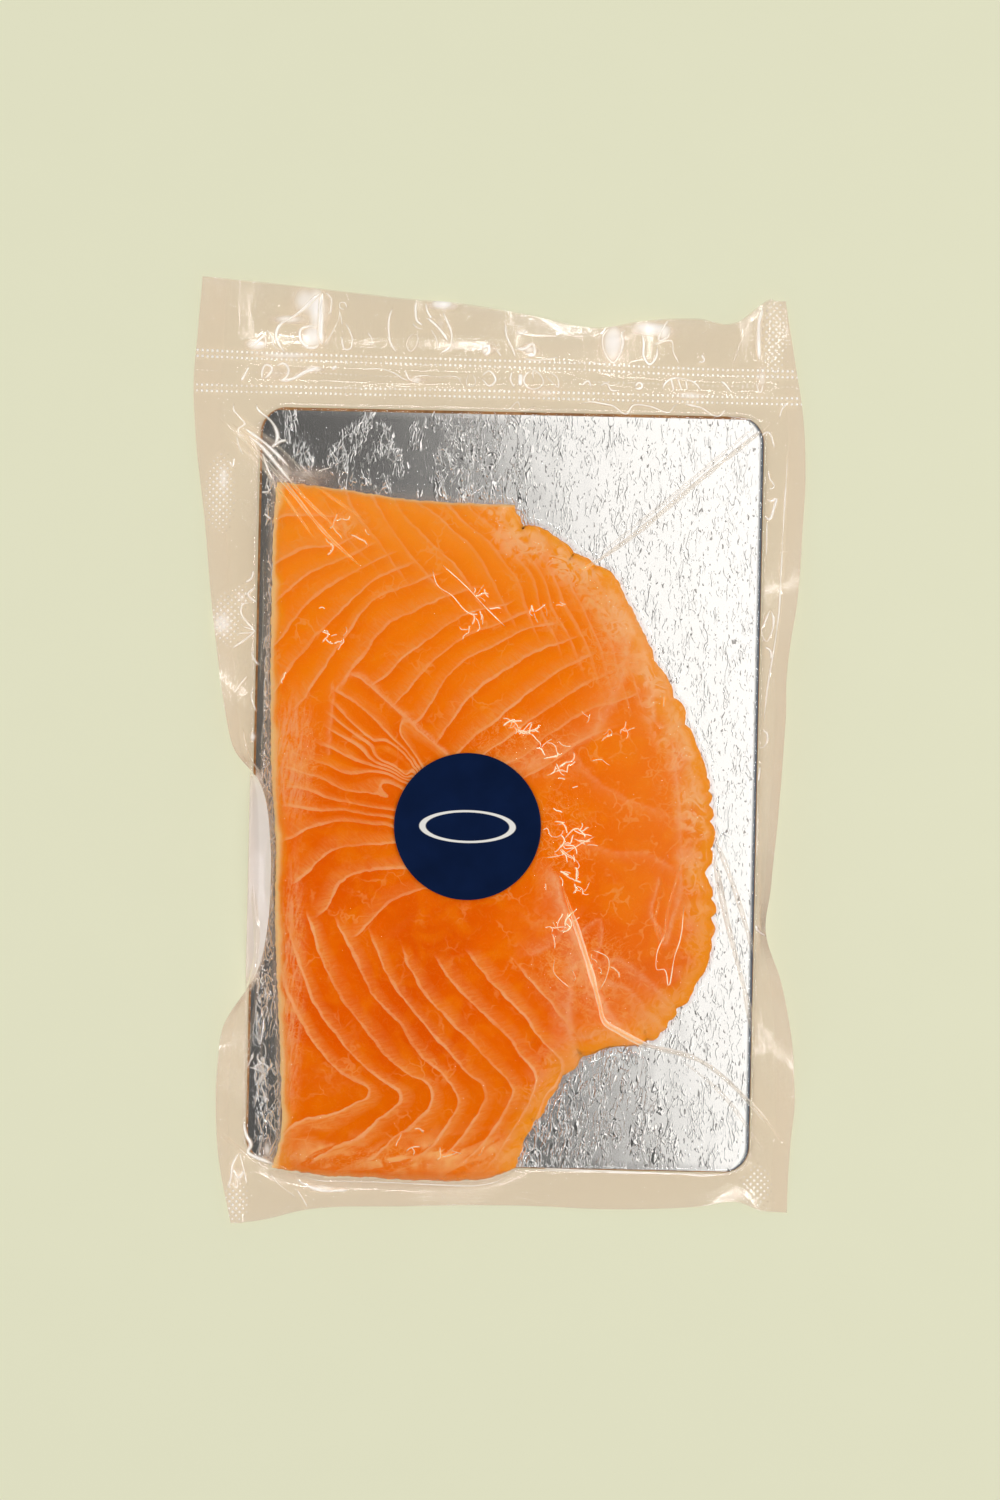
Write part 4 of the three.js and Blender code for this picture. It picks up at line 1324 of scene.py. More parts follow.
# %% Creases of the film
# Each crease: its points in mm, half width, height, and how milky the doubled film is.
TENSION_FOLDS = [
    ([(82, 103), (60, 84.5), (42.5, 69.3), (31, 60.6), (24, 56)], 0.8, 1.1, 0.6),
    ([(79, 103.5), (58, 85), (41, 70.5), (30, 61.5)], 0.5, 0.7, 0.1),
    ([(91.5, -117), (81, -104.5), (64, -90.5), (46.5, -85.5), (39.5, -81.8), (35, -79), (33, -73),
      (31, -66), (27.5, -55.5), (21.2, -38)], 0.75, 1, 0.55),
    ([(84, -117), (70, -99.5), (58, -90)], 0.5, 0.6, 0.12),
    ([(-86, 101), (-77, 94), (-63, 79), (-52, 66), (-41, 56)], 0.55, 0.7, 0.4),
    ([(-84, 96), (-74, 88), (-64, 76), (-55, 64)], 0.4, 0.5, 0.3),
    ([(-82, 99.5), (-70, 90), (-58, 76), (-47, 66)], 0.4, 0.5, 0.32),
    ([(-78, 98), (-70, 84), (-65.5, 74)], 0.4, 0.5, 0.25),
    ([(-82, 103), (-68, 93), (-52, 78), (-40, 70)], 0.4, 0.4, 0.22),
    ([(66.5, -26.5), (72, -50.5), (77, -68.5), (82, -88)], 0.8, 1.2, 0.26),
    ([(66, -20), (73.5, -38.5), (80.5, -60)], 0.6, 0.9, 0.2),
    ([(-66, -126), (-72, -122), (-80, -116)], 0.6, 0.8, 0.15),
    ([(-72, -40), (-70.5, -62), (-72.5, -72), (-69, -64)], 0.8, 0.8, 0.25),
    ([(-69.5, -66), (-71.5, -84), (-73, -100), (-72, -112)], 0.6, 0.8, 0.12),
    ([(-66, -70), (-68.5, -86), (-68, -104)], 0.5, 0.7, 0.08),
    ([(-70, -122), (-62, -124.5), (-50, -131.5)], 0.7, 0.8, 0.15),
    ([(57, -30), (53, -46), (51.5, -55), (49.5, -50), (51.5, -39)], 0.35, 0.25, 0.1),
    ([(-68.5, 34), (-69.5, 10), (-70, -12)], 0.5, 0.7, 0.1),
    ([(-70.8, 60), (-70.2, 40), (-71, 20)], 0.4, 0.5, 0.08),
]
# Each loose crease: its points in mm, half width, and how white its crest is, a white that is partly stress
# whitening and partly a painted highlight.
LOOSE_CREASES = [
    # Film pulled tight over the base of the card.
    ([(10, -124.6), (30, -124.9), (55, -125), (72, -124.7), (78, -122.4), (80, -117)], 0.4, 0.75),
    # Loose lip above the seals.
    ([(-68.5, 141), (-69.5, 138.5)], 0.5, 0.9),
    ([(-66, 141), (-67, 135), (-68.5, 130), (-70, 127.5)], 0.35, 0.45),
    ([(-54.5, 139), (-58, 136), (-61, 133), (-64.5, 130.5), (-67, 129), (-68.5, 125.5), (-67.5, 123),
      (-65.5, 120.5)], 0.75, 1),
    ([(-54.5, 139), (-55, 135.5), (-55, 131), (-55, 126.5), (-54.5, 123)], 0.95, 1),
    ([(-55, 128), (-58.5, 128.5), (-61, 127.5), (-61, 124.5), (-59, 122.5), (-56.5, 122.5),
      (-55, 124)], 0.6, 0.9),
    ([(-54, 139), (-52, 137), (-52, 134.5), (-52.5, 132.5), (-53.5, 133)], 0.4, 0.6),
    ([(-54.5, 122.5), (-53, 124.5), (-51, 128), (-49.5, 131.5), (-49.5, 134.5)], 0.35, 0.6),
    ([(-47.5, 134), (-49, 134), (-49.5, 135), (-49, 136), (-47.5, 135.5), (-47.5, 134)], 0.4, 0.85),
    ([(-49.5, 133.5), (-49, 131.5), (-48.5, 129)], 0.35, 0.7),
    ([(-48, 130.5), (-46.5, 128), (-45.5, 125), (-46, 122.5), (-47.5, 122), (-48.5, 124),
      (-48.5, 126.5)], 0.45, 0.75),
    ([(-41, 127.5), (-39.5, 125), (-40, 123)], 0.4, 0.6),
    ([(-33.5, 135), (-34.5, 131.5), (-34.5, 127.5), (-34, 124.5), (-32, 121.5)], 0.45, 0.8),
    ([(-26, 127.5), (-28, 126.5), (-29, 123.5), (-28, 122), (-26, 124), (-26, 127),
      (-28, 126.5)], 0.35, 0.5),
    ([(-26.5, 137), (-26.5, 133.5), (-26, 131), (-24, 129.5)], 0.5, 0.9),
    ([(-27.5, 130.5), (-26, 129), (-24, 128.5)], 0.35, 0.6),
    ([(-18.5, 134), (-17, 131), (-15.5, 127), (-16, 123.5), (-19, 121.5)], 0.65, 0.95),
    ([(-23, 132), (-20, 129.5), (-17.5, 126.5), (-16.5, 125)], 0.6, 0.95),
    ([(-23.5, 136.5), (-23, 134), (-21.5, 131.5)], 0.5, 0.8),
    ([(-22, 129), (-20, 125.5), (-19.5, 122)], 0.35, 0.5),
    ([(-77, 122), (-74, 124), (-72, 125.5), (-71.5, 124), (-72, 122)], 0.55, 0.9),
    ([(-71.5, 127.5), (-70, 125.5), (-69, 122.5), (-66.5, 121)], 0.4, 0.7),
    ([(0.5, 130.5), (1, 127), (3, 123), (4, 120.5)], 0.4, 0.7),
    ([(4, 128), (5.5, 127.5), (7.5, 128.5)], 0.6, 0.9),
    ([(3.5, 123.5), (6, 123), (9, 124.5), (9.5, 121.5), (6.5, 121.5)], 0.65, 1),
    ([(5.5, 120.5), (10, 120), (15, 120.5), (17.5, 121)], 0.4, 0.75),
    ([(-6.5, 123), (-4.5, 124), (-4, 122.5), (-5.5, 121)], 0.7, 1),
    ([(-2, 123), (-0.5, 121)], 0.4, 0.8),
    ([(37.5, 129.5), (35.5, 127.5), (36, 125.5), (35, 121.5), (33.5, 119.5), (31.5, 121), (30, 124),
      (30, 127), (32.5, 129.5)], 0.6, 0.9),
    ([(41.5, 129), (42.5, 125.5), (42.5, 122), (44.5, 119.5), (46.5, 122), (46.5, 125)], 0.55, 0.9),
    ([(50, 133), (48, 130), (47, 126.5), (49.5, 127.5), (50.5, 130)], 0.5, 0.9),
    ([(45, 125), (47.5, 126), (51, 126.5), (51.5, 123.5), (53.5, 120)], 0.45, 0.8),
    ([(60, 123), (61, 121), (59, 120.5)], 0.6, 1),
    ([(78, 137), (77, 133), (77, 127.5), (77.5, 121)], 0.95, 1),
    ([(73.5, 132), (71.5, 126), (69.5, 120)], 0.35, 0.4),
    # Between the seals.
    ([(-76.5, 116.5), (-77.5, 114.5), (-79, 112)], 0.7, 1),
    ([(-72.5, 112.5), (-72.5, 115), (-71.5, 117), (-69.5, 116), (-70.5, 114), (-72, 112.5)], 0.5, 0.9),
    ([(-68.5, 116.5), (-66, 117.5), (-64.5, 115.5), (-65.5, 113), (-67.5, 112)], 0.5, 0.9),
    ([(-67, 112), (-63, 113), (-59.5, 115), (-55, 116.5)], 0.75, 0.95),
    ([(-51.5, 116), (-50, 117)], 0.8, 1),
    ([(-43.5, 116), (-39.5, 116.5), (-36.5, 116.5), (-32, 115), (-29.5, 113.5), (-27, 113.5)], 0.35, 0.6),
    ([(-29.5, 116.5), (-28, 113.5), (-24.5, 112.5)], 0.5, 0.9),
    ([(-28.5, 112), (-26.5, 114), (-19, 114.5), (-13, 114), (-12, 111)], 0.35, 0.5),
    ([(-9.5, 116), (-8, 114), (-8.5, 112), (-10.5, 112), (-10.5, 114.5), (-9.5, 116)], 0.4, 0.7),
    ([(-6.5, 114.5), (-4, 116.5), (-2, 113.5), (-3.5, 112), (-6.5, 114.5)], 0.55, 0.95),
    ([(3, 116.5), (2.5, 114), (4, 111.5)], 0.4, 0.8),
    ([(5.5, 116), (5.5, 112)], 0.8, 1),
    ([(9.5, 117), (7.5, 116), (6.5, 114), (7.5, 112), (10.5, 111.5), (12.5, 113), (11.5, 115.5),
      (9.5, 117), (9.5, 113)], 0.5, 0.9),
    ([(13, 115.5), (15, 113.5), (17, 112), (16.5, 115), (14, 116.5)], 0.45, 0.85),
    ([(24, 112.5), (26, 114), (27, 112)], 0.55, 1),
    ([(29.5, 112.5), (31.5, 113.5), (33, 111.5), (35.5, 111.5)], 0.45, 0.9),
    ([(40, 112.5), (41.5, 114), (42.5, 113), (41.5, 112), (40, 112.5)], 0.5, 0.95),
    ([(48.5, 111.5), (49, 113.5), (51.5, 115.5), (54.5, 115.5), (58.5, 114), (60.5, 111.5)], 0.5, 0.9),
    ([(51, 115.5), (52, 111.5)], 0.45, 0.85),
    ([(53, 115.5), (54.5, 111.5)], 0.45, 0.85),
    ([(55.5, 115), (56, 112)], 0.45, 0.85),
    ([(66, 115), (67.5, 114), (69, 112)], 0.5, 0.9),
    ([(76.5, 115), (78, 111.5), (79, 114.5)], 0.45, 0.8),
    # Over the top edge of the card.
    ([(23, 107), (26.5, 108), (30.5, 107.5), (33.5, 107), (38, 104.5), (39.5, 107), (45, 107),
      (51, 105.5), (52.5, 107.5), (55, 108)], 0.4, 0.75),
    ([(55, 108), (60, 107), (66, 104.5), (68, 107)], 0.6, 1),
    ([(0.5, 106.5), (1.5, 105), (5, 107.5), (6, 105), (10.5, 106.5)], 0.35, 0.6),
    ([(68, 104.5), (72, 104), (76.5, 103.5)], 0.4, 0.7),
    ([(84, 104), (85.5, 108), (87, 109)], 0.5, 0.9),
    # Down the left strip.
    ([(-81, 105.5), (-81, 103.5), (-79, 101), (-77.5, 99), (-79.5, 97.5), (-79, 95.5),
      (-77, 96)], 0.5, 0.85),
    ([(-74, 105.5), (-74, 104), (-72.5, 102.5), (-70, 100.5), (-68, 97.5), (-67.5, 95),
      (-68.5, 93)], 0.75, 1),
    ([(-78, 98), (-73.5, 95), (-68, 90.5), (-63.5, 86)], 0.7, 0.9),
    ([(-77, 96), (-72, 92), (-68, 87.5), (-62, 80.5)], 0.7, 0.95),
    ([(-72, 90.5), (-70, 85), (-68.5, 82)], 0.45, 0.8),
    ([(-76.5, 95.5), (-74, 92), (-73, 88)], 0.4, 0.7),
    ([(-80, 95.5), (-79, 92), (-78, 90)], 0.4, 0.6),
    ([(-82, 88), (-81, 86), (-80.5, 89)], 0.5, 0.8),
    ([(-69.5, 92), (-66.5, 94), (-64.5, 94.5)], 0.6, 0.9),
    ([(-72, 78.5), (-69.5, 78.5)], 0.4, 0.9),
    ([(-71, 72), (-68.5, 70)], 0.4, 0.9),
    ([(-77.5, 38), (-73, 36.5), (-79, 35.5)], 0.6, 0.95),
    ([(-73, 36.5), (-76.5, 33.5), (-80, 31)], 0.6, 0.9),
    ([(-73, 36.5), (-75.5, 39), (-77.5, 42.5), (-77, 44.5), (-74.5, 45)], 0.5, 0.85),
    ([(-73, 50), (-75.5, 47.5), (-74, 46), (-72.5, 45)], 0.6, 0.9),
    ([(-76.5, 51), (-74.5, 52.5), (-74, 55)], 0.5, 0.8),
    ([(-71.5, 26), (-73.5, 28.5), (-74, 30), (-72.5, 30)], 0.5, 0.85),
    ([(-72, 19.5), (-73.5, 18.5), (-73, 14), (-72, 12)], 0.45, 0.7),
    ([(-79, 17.5), (-77, 20.5), (-75, 23)], 0.4, 0.6),
    ([(-76, 7), (-75, 2), (-73, -3), (-70, -7)], 0.35, 0.5),
    # Down the right strip.
    ([(78.5, 98.5), (80.5, 100), (83, 95)], 0.4, 0.7),
    ([(81, 88.5), (81.5, 86), (83, 83.5), (81.5, 82.5)], 0.5, 0.9),
    ([(80.5, 80), (82, 79), (83.5, 80), (83, 77), (81.5, 73.5), (80, 75)], 0.6, 1),
    ([(81, 73.5), (81, 67.5), (81, 62)], 0.4, 0.7),
    ([(87, 96), (86.5, 85.5), (86, 73.5), (85.5, 58.5), (85, 46), (84, 37), (82, 22), (81, 8.5)], 0.4, 0.7),
    ([(82.5, 46.5), (81, 42.5), (80, 39.5), (81.5, 36.5), (83, 39.5), (83.5, 43), (82.5, 46.5)], 0.5, 0.9),
    ([(81, 35), (82.5, 34), (83, 31)], 0.5, 0.8),
    ([(80.5, 9.5), (81.5, 9.5), (81, 4.5), (79.5, 4.5)], 0.5, 0.9),
    ([(80.5, -1), (80, -6)], 0.45, 0.9),
    ([(80, -8.5), (80, -19), (80, -30)], 0.35, 0.6),
    ([(80, -49), (81, -51), (82.5, -52)], 0.5, 0.9),
    # Round the base.
    ([(-74.5, -121), (-76.5, -125), (-77, -129.5), (-78, -132.5)], 0.65, 0.9),
    ([(-74.5, -121), (-73.5, -125), (-72, -131)], 0.45, 0.8),
    ([(-76.5, -126), (-74.5, -129), (-73, -126.5)], 0.5, 0.9),
    ([(-77, -130), (-75, -132), (-75, -129)], 0.5, 0.9),
    ([(-73.5, -111.5), (-72.5, -116), (-71, -119), (-72, -121), (-69.5, -122.5), (-66.5, -123.5),
      (-63.5, -124)], 0.8, 1),
    ([(-65.5, -126.5), (-63.5, -129.5), (-60.5, -132), (-56.5, -135)], 0.35, 0.6),
    ([(-57, -132), (-55, -135), (-53.5, -137.5)], 0.5, 0.85),
    ([(-57.5, -128.5), (-54.5, -130.5), (-50, -132), (-41, -132)], 0.95, 1),
    ([(-56.5, -127), (-52.5, -128.5), (-42.5, -129), (-28.5, -129), (-13.5, -129.5), (-1.5, -129.5),
      (4.5, -128), (8, -125.5), (9, -123)], 0.35, 0.75),
    ([(9, -124), (34.5, -124.5), (59, -125), (76.5, -125)], 0.35, 0.8),
]
# Film pressed hard onto the fish gathers in clusters of hair-fine creases, whose white
# crests are painted highlights. Each cluster: centre in mm, reach in mm, number of creases,
# their main heading in degrees, whiteness.
CREASE_CLUSTERS = [
    ((6, 8), (9, 4), 16, 10, 0.95), ((19, 0), (8, 7), 18, 30, 0.9), ((20.5, -20), (5, 10), 26, 10, 1),
    ((19, -36), (6, 6), 14, -20, 0.9), ((21, -50), (5.5, 7), 12, 20, 0.85),
    ((-8, 46), (9, 7), 14, -45, 0.8), ((14, 47), (5, 2), 7, -10, 0.7), ((-50, 34), (2.5, 7), 8, 60, 0.8),
    ((33, 7), (8, 9), 12, 35, 0.6), ((-58, -4), (5, 14), 12, 80, 0.4), ((-48, 66), (7, 8), 9, -40, 0.6),
    ((52, 16), (4, 12), 8, -60, 0.55), ((28, -62), (8, 6), 8, -25, 0.5),
    ((-15, -120), (26, 4), 12, 15, 0.6), ((-66.3, -88), (1.7, 30), 46, 90, 0.8),
    ((-68.5, 40), (1.2, 34), 22, 90, 0.7), ((-68, 84), (5, 6), 10, -50, 0.8),
    ((-57, 83.5), (7, 2.5), 12, 0, 0.8)
]
# The few long creases on the fish: points in mm and whiteness, a painted highlight.
LONG_CREASES = [
    ([(52.9, -51.1), (50, -59), (50.5, -63), (52.2, -62.7), (53.8, -67.6), (55.6, -58.5), (57, -54),
      (58, -43.5)], 0.95),
    ([(-17, 57.4), (-9, 50.4), (-3.2, 44.4), (3, 38.6)], 0.75),
    ([(-19.7, 55.8), (-18, 51), (-13.6, 48), (-9.5, 43.6), (-5.8, 41.5)], 0.7),
    ([(15.5, -30), (20.6, -29), (26.5, -25.5), (31, -23)], 0.65),
    ([(30.4, -57), (35.4, -59.6), (34.8, -66), (32.8, -69.6)], 0.6),
    ([(19.6, -59.5), (19.2, -64), (21.5, -66.6), (24.5, -69)], 0.5),
]
# Each milky spot, partly haze and partly a painted highlight: centre in mm, reach in mm, and how milky the
# film is there.
MILKY_SPOTS_AND_PAINTED_HIGHLIGHTS = [
    ((-57.5, 125.5), (2.6, 2.9), 0.7), ((-56, 133.5), (1.8, 4.8), 0.95), ((-60, 136), (3, 3.6), 0.5),
    ((-65, 130.5), (3.6, 1.1), 0.52), ((-74.5, 123), (2.7, 1.4), 0.6), ((-65.5, 120), (8.5, 0.9), 0.4),
    ((-68.5, 114.5), (3.6, 2.4), 0.2), ((-57, 116), (2.4, 0.9), 0.6), ((-26, 113.5), (1.5, 0.9), 0.5),
    ((-18.5, 136), (2.7, 1.2), 0.85), ((-19, 130), (1.5, 3), 0.22), ((33, 125), (2.4, 4.2), 0.78),
    ((44.5, 130), (4.5, 1.5), 0.75), ((48.5, 128.5), (1.8, 2.1), 0.45), ((8, 123), (1.8, 1.2), 0.45),
    ((-5, 123), (1.2, 1.5), 0.6), ((77, 129), (0.8, 5.5), 0.5), ((78.5, 116), (1.2, 3.6), 0.3),
    ((13, 110.5), (5.5, 1.5), 0.22), ((57, 110.5), (4.2, 1.2), 0.35), ((-83.5, 82.5), (1.5, 4.2), 0.35),
    ((-83, 38.5), (2.7, 3.3), 0.4), ((-77.5, 46.5), (1.5, 1.8), 0.3), ((-73, 4.5), (0.8, 1.2), 0.8),
    ((-75, -129), (1.5, 2.7), 0.3), ((-75, -137), (3, 4.2), 0.12), ((-66, -120), (1.2, 2.7), 0.55),
    ((-49.5, -131.5), (4.2, 0.8), 0.5), ((-72, 92.5), (2.7, 2.7), 0.25), ((-65.5, 86), (2.1, 3.3), 0.3),
    ((-59, 84), (8, 2), 0.35)
]
SEAL_LINES = [[(-95, 120.4), (-82.4, 120), (-6.8, 118.9), (44.6, 117.9), (95, 117.4)],
              [(-95, 109.9), (-82.2, 109.8), (0, 109.7), (75, 109.4), (95, 109.3)]]
LABEL = {"centre": (-7.5, -21.0), "radius": 22.0, "thickness": 0.25}
TENT_SHARE = 0.5  # of a fold's height, which the web itself rises to
TENT_WIDTH = 2.2
FOLD_TAPER = 6.0


def tented(x, y):
    """Broad lift of the film beside the folds under tension, which the pleats stand on."""
    lift = np.zeros(x.shape)
    for points, half_width, height, _ in TENSION_FOLDS:
        away = np.abs(stroke(points, x, y))
        ends = np.array([points[0], points[-1]], dtype=float)
        taper = (smooth(distance_to(ends[:1], x, y), 0.0, FOLD_TAPER)
                 * smooth(distance_to(ends[1:], x, y), 0.0, FOLD_TAPER))
        flank = np.exp(-(away / (TENT_WIDTH + half_width)) ** 2)
        lift = np.maximum(lift, TENT_SHARE * taper * height * flank)
    return lift


print("Creases:", len(TENSION_FOLDS), "under tension and", len(LOOSE_CREASES), "loose")

# %% [markdown]
# The front web is one grid of points. On the card it takes its height from the raster of
# the contents, and on the border from the surface of the seals. To that come soft waves and
# fine wrinkles, the lift beside taut folds, and air between the webs where they are open.
# Under the label it is smooth, because the label holds it flat.

# %% The front web
WEB_GAP = 0.10
WEB_OVERLAP = 0.02
SEALED_AIR = 1.2
MOUTH_AIR = 1.3

sheet_x, sheet_y, sheet_z = seal_surface(film_column, film_row)
off_the_card = np.maximum.reduce([-film_column, film_column - 1, -film_row, film_row - 1])
on_border = off_the_card > 0
over_contents = read_raster(draped, sheet_x, sheet_y)
beyond_raster = ((sheet_x < raster_x[1]) | (sheet_x > raster_x[-2])
                 | (sheet_y < raster_y[1]) | (sheet_y > raster_y[-2]))
over_contents = np.where(beyond_raster, 0.0, over_contents)
seal_gap = [sheet_y - through(seal, sheet_x) for seal in SEAL_LINES]
between_seals = smooth(seal_gap[1], 0.5, 3.5) * smooth(-seal_gap[0], 0.5, 3.5)
above_seals = smooth(seal_gap[0], 1.0, 9.0)
sealed_side = smooth(np.abs(np.clip(film_column, -1, 2) - 0.5), 0.55, 0.95)
from_label = np.hypot(sheet_x - LABEL["centre"][0], sheet_y - LABEL["centre"][1])
under_label = 1.0 - smooth(from_label, LABEL["radius"] - 0.5, LABEL["radius"] + 3.0)


def waves(first, first_seed, second, second_seed):
    """Two sizes of soft hills on the sheet; each is its height and its cell in mm."""
    total = 0.0
    for (height, cell_x, cell_y), seed in ((first, first_seed), (second, second_seed)):
        total = total + height * value_noise(sheet_x, sheet_y, cell_x, cell_y, seed)
    return total


ripple = waves((0.45, 11.0, 9.0), 61, (0.18, 4.0, 4.5), 62)
wrinkle = waves((0.10, 3.4, 5.0), 63, (0.05, 1.6, 1.9), 64)
border_share = smooth(off_the_card, 0.0, 0.12)
sheet_z = sheet_z + border_share * (0.5 + 0.5 * above_seals) * (ripple + 0.5)
sheet_z = np.where(on_border, np.maximum(sheet_z, over_contents - WEB_OVERLAP), sheet_z)

front_z = np.maximum(np.where(on_border, sheet_z + WEB_GAP, over_contents), over_contents)
mouth_waves = MOUTH_AIR + 1.2 * value_noise(sheet_x, sheet_y, 17.0, 14.0, 65)
opening = (1.0 - sealed_side) * (SEALED_AIR * between_seals + above_seals * mouth_waves)
front_z = front_z + opening + tented(sheet_x, sheet_y) * (1 - under_label)
front_z = front_z + (1 - under_label) * wrinkle * (1.0 - 0.4 * border_share)
print("Front web stands up to", round(float(front_z.max()), 1), "mm")

# %% [markdown]
# The film is one material, but not the same everywhere, so marks are stored on its points:
# how milky it is, how deeply diamonds are embossed, how thickly tiny wrinkles lie, and how
# much it shines. Film that lies on oily fish hardly shines at all. It is milky where two
# layers trap air between them, on the border, in the folded strip and in a thin fringe
# round the fish, and some milky spots are painted highlights.

# %% Marks on the film
ON_CARD_MILK = 0.006
BORDER_MILK = 0.14
FOLDED_MILK = 0.35
# Each embossed place: its centre and reach in mm.
EMBOSSED = [
    ((-84.5, 78), (5, 13)), ((-81.5, 40), (5, 9)), ((-77.5, 47), (3, 4)), ((-75, -136), (4, 7)),
    ((82, 128), (4, 14)), ((82, -128), (5, 7))
]
# Each place with tiny wrinkles: its centre and radius in mm.
CRINKLED = [
    ((12, 4), 9), ((22, -14), 10), ((14, -30), 8), ((22, -64), 8), ((54, 18), 8), ((-58, 0), 8),
    ((2, 52), 7), ((-22, 44), 6), ((58, -16), 7), ((-70, -60), 9), ((-70, -95), 10), ((-68.5, 75), 8),
    ((-66, 86), 10), ((-10, -124), 12)
]
on_fish = inside(slab_outline, sheet_x, sheet_y)
off_card = card_margin(sheet_x, sheet_y) < 0
milky = np.where(on_fish, 0.0, np.where(on_border | off_card, BORDER_MILK, ON_CARD_MILK))
milky = milky + 0.05 * smooth(np.abs(film_column - 0.5), 1.05, 1.12)
left_fold = through(LEFT_BORDER, sheet_y)[..., 1]
milky += FOLDED_MILK * smooth(left_fold, 70.0, 125.0) * smooth(-film_column, 0.08, 0.25)
# Partly painted highlight: these spots add white to the film's haze.
for centre, reach, haze in MILKY_SPOTS_AND_PAINTED_HIGHLIGHTS:
    milky += haze * soft_spot(sheet_x, sheet_y, centre, reach)
beside_fish = distance_to(slab_outline, sheet_x, sheet_y)
fringe = np.where(sheet_x < -55.0, 0.24, 0.10) * np.exp(-((beside_fish - 0.5) / 0.7) ** 2)
milky += fringe * (1 - on_fish) * (1 - border_share)
emboss = 0.25 * smooth(-film_column, 0.15, 0.5) + 0.1 * smooth(film_column - 1, 0.3, 0.6)
for centre, reach in EMBOSSED:
    emboss = np.maximum(emboss, soft_spot(sheet_x, sheet_y, centre, reach) * on_border)
crinkle = np.full(sheet_x.shape, 0.12)
for centre, radius in CRINKLED:
    crinkle = np.maximum(crinkle, soft_spot(sheet_x, sheet_y, centre, (radius, radius)))
crinkle = crinkle * (1 - under_label)
side_strip = smooth(np.abs(film_column - 0.5), 0.5, 0.7)
shine = np.where(on_fish, 0.03, np.where(on_border, 0.75 - 0.45 * side_strip, 0.4))
for gap_to_seal in seal_gap:
    shine = shine * (1.0 - 0.8 * np.exp(-(gap_to_seal / 2.4) ** 2))
nearest_seal = np.where(np.abs(seal_gap[0]) < np.abs(seal_gap[1]), *seal_gap)
film_marks = np.stack([milky, emboss, crinkle], axis=-1)
seal_marks = np.stack([sheet_x, nearest_seal, shine], axis=-1)
front_points = np.stack([sheet_x, sheet_y, front_z], axis=-1).reshape(-1, 3)
front_web = make_piece("front_web", front_points, grid_faces(*film_column.shape),
                       {"film_marks": film_marks, "seal_marks": seal_marks})
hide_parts("front_film")
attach(front_web, "root")

# %% [markdown]
# The back web is the same surface seen from below: flat under the card, and close behind
# the front web on the border. It is flat for the most part, so only every sixth column of
# the grid is kept across the card.

# %% The back web
BACK_REST = 0.06
BACK_LOWEST = 0.03
FIRST_FLAT = 28
LAST_FLAT = 242
EVERY = 6
kept_columns = np.concatenate([np.arange(FIRST_FLAT), np.arange(FIRST_FLAT, LAST_FLAT, EVERY),
                               np.arange(LAST_FLAT, film_column.shape[1])])
back_z = np.where(on_border, sheet_z - WEB_OVERLAP, BACK_REST) - 0.5 * opening * above_seals
back_z = np.maximum(back_z, BACK_LOWEST)
back_points = np.stack([sheet_x, sheet_y, back_z], axis=-1)[:, kept_columns]
back_web = make_piece("back_web", back_points.reshape(-1, 3), grid_faces(*back_points.shape[:2]),
                      {"film_marks": film_marks[:, kept_columns], "seal_marks": seal_marks[:, kept_columns]})
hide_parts("back_film")
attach(back_web, "root")

# %% [markdown]
# A pleat is film folded back on itself: a thin ridge, a millimetre or two wide, with three
# layers of film on top of each other. It is finer than the web's own grid, so each pleat
# is a strip of its own. Its middle line is dropped onto the web from above with a ray, and
# the strip bulges between two edges that sink just below the web. The hair-fine creases are
# short random walks, which start beside each other or branch off, so that they gather in
# nests. A fixed seed gives the same ones each time.

# %% Courses of the hair creases
BRANCHING = 0.6
HEADING_SPREAD = 32.0
TURN_SPREAD = 34.0
STRIDE = (0.7, 2.0)
HAIR_HALF_WIDTH = (0.18, 0.36)
HAIR_HEIGHT = 0.10
crease_random = np.random.default_rng(RANDOM_SEED)


def hair_crease(cluster, joints):
    """A short crooked crease in a cluster: at a random place, or branching off an earlier one."""
    centre, reach, _, heading, white = cluster
    spot = np.array(centre) + crease_random.normal(0.0, 0.5, 2) * reach
    if joints and crease_random.random() < BRANCHING:
        spot = joints[crease_random.integers(len(joints))]
    angle = math.radians(heading + crease_random.normal(0.0, HEADING_SPREAD))
    walk = [spot]
    for _ in range(crease_random.integers(2, 5)):
        angle += math.radians(crease_random.normal(0.0, TURN_SPREAD))
        stride = crease_random.uniform(*STRIDE)
        walk.append(walk[-1] + stride * np.array([math.cos(angle), math.sin(angle)]))
    joints.extend(walk[1:])
    thick = crease_random.uniform(*HAIR_HALF_WIDTH)
    return [tuple(point) for point in walk], thick, HAIR_HEIGHT, 0.0, white * crease_random.uniform(0.55, 1.0)


# Every crease alike: its points, half width, height, haze of its flanks, whiteness of its crest.
folds = [(points, half_width, height, haze, 0.0) for points, half_width, height, haze in TENSION_FOLDS]
folds += [(points, half_width, 0.7 * half_width, 0.0, white) for points, half_width, white in LOOSE_CREASES]
folds += [(points, 0.22, 0.12, 0.0, white) for points, white in LONG_CREASES]
first_hair = len(folds)
for cluster in CREASE_CLUSTERS:
    joints = []
    folds += [hair_crease(cluster, joints) for _ in range(cluster[2])]
print("Creases to fold:", len(folds), "of which hair-fine", len(folds) - first_hair)

# %% Pleats on the web
from mathutils.bvhtree import BVHTree

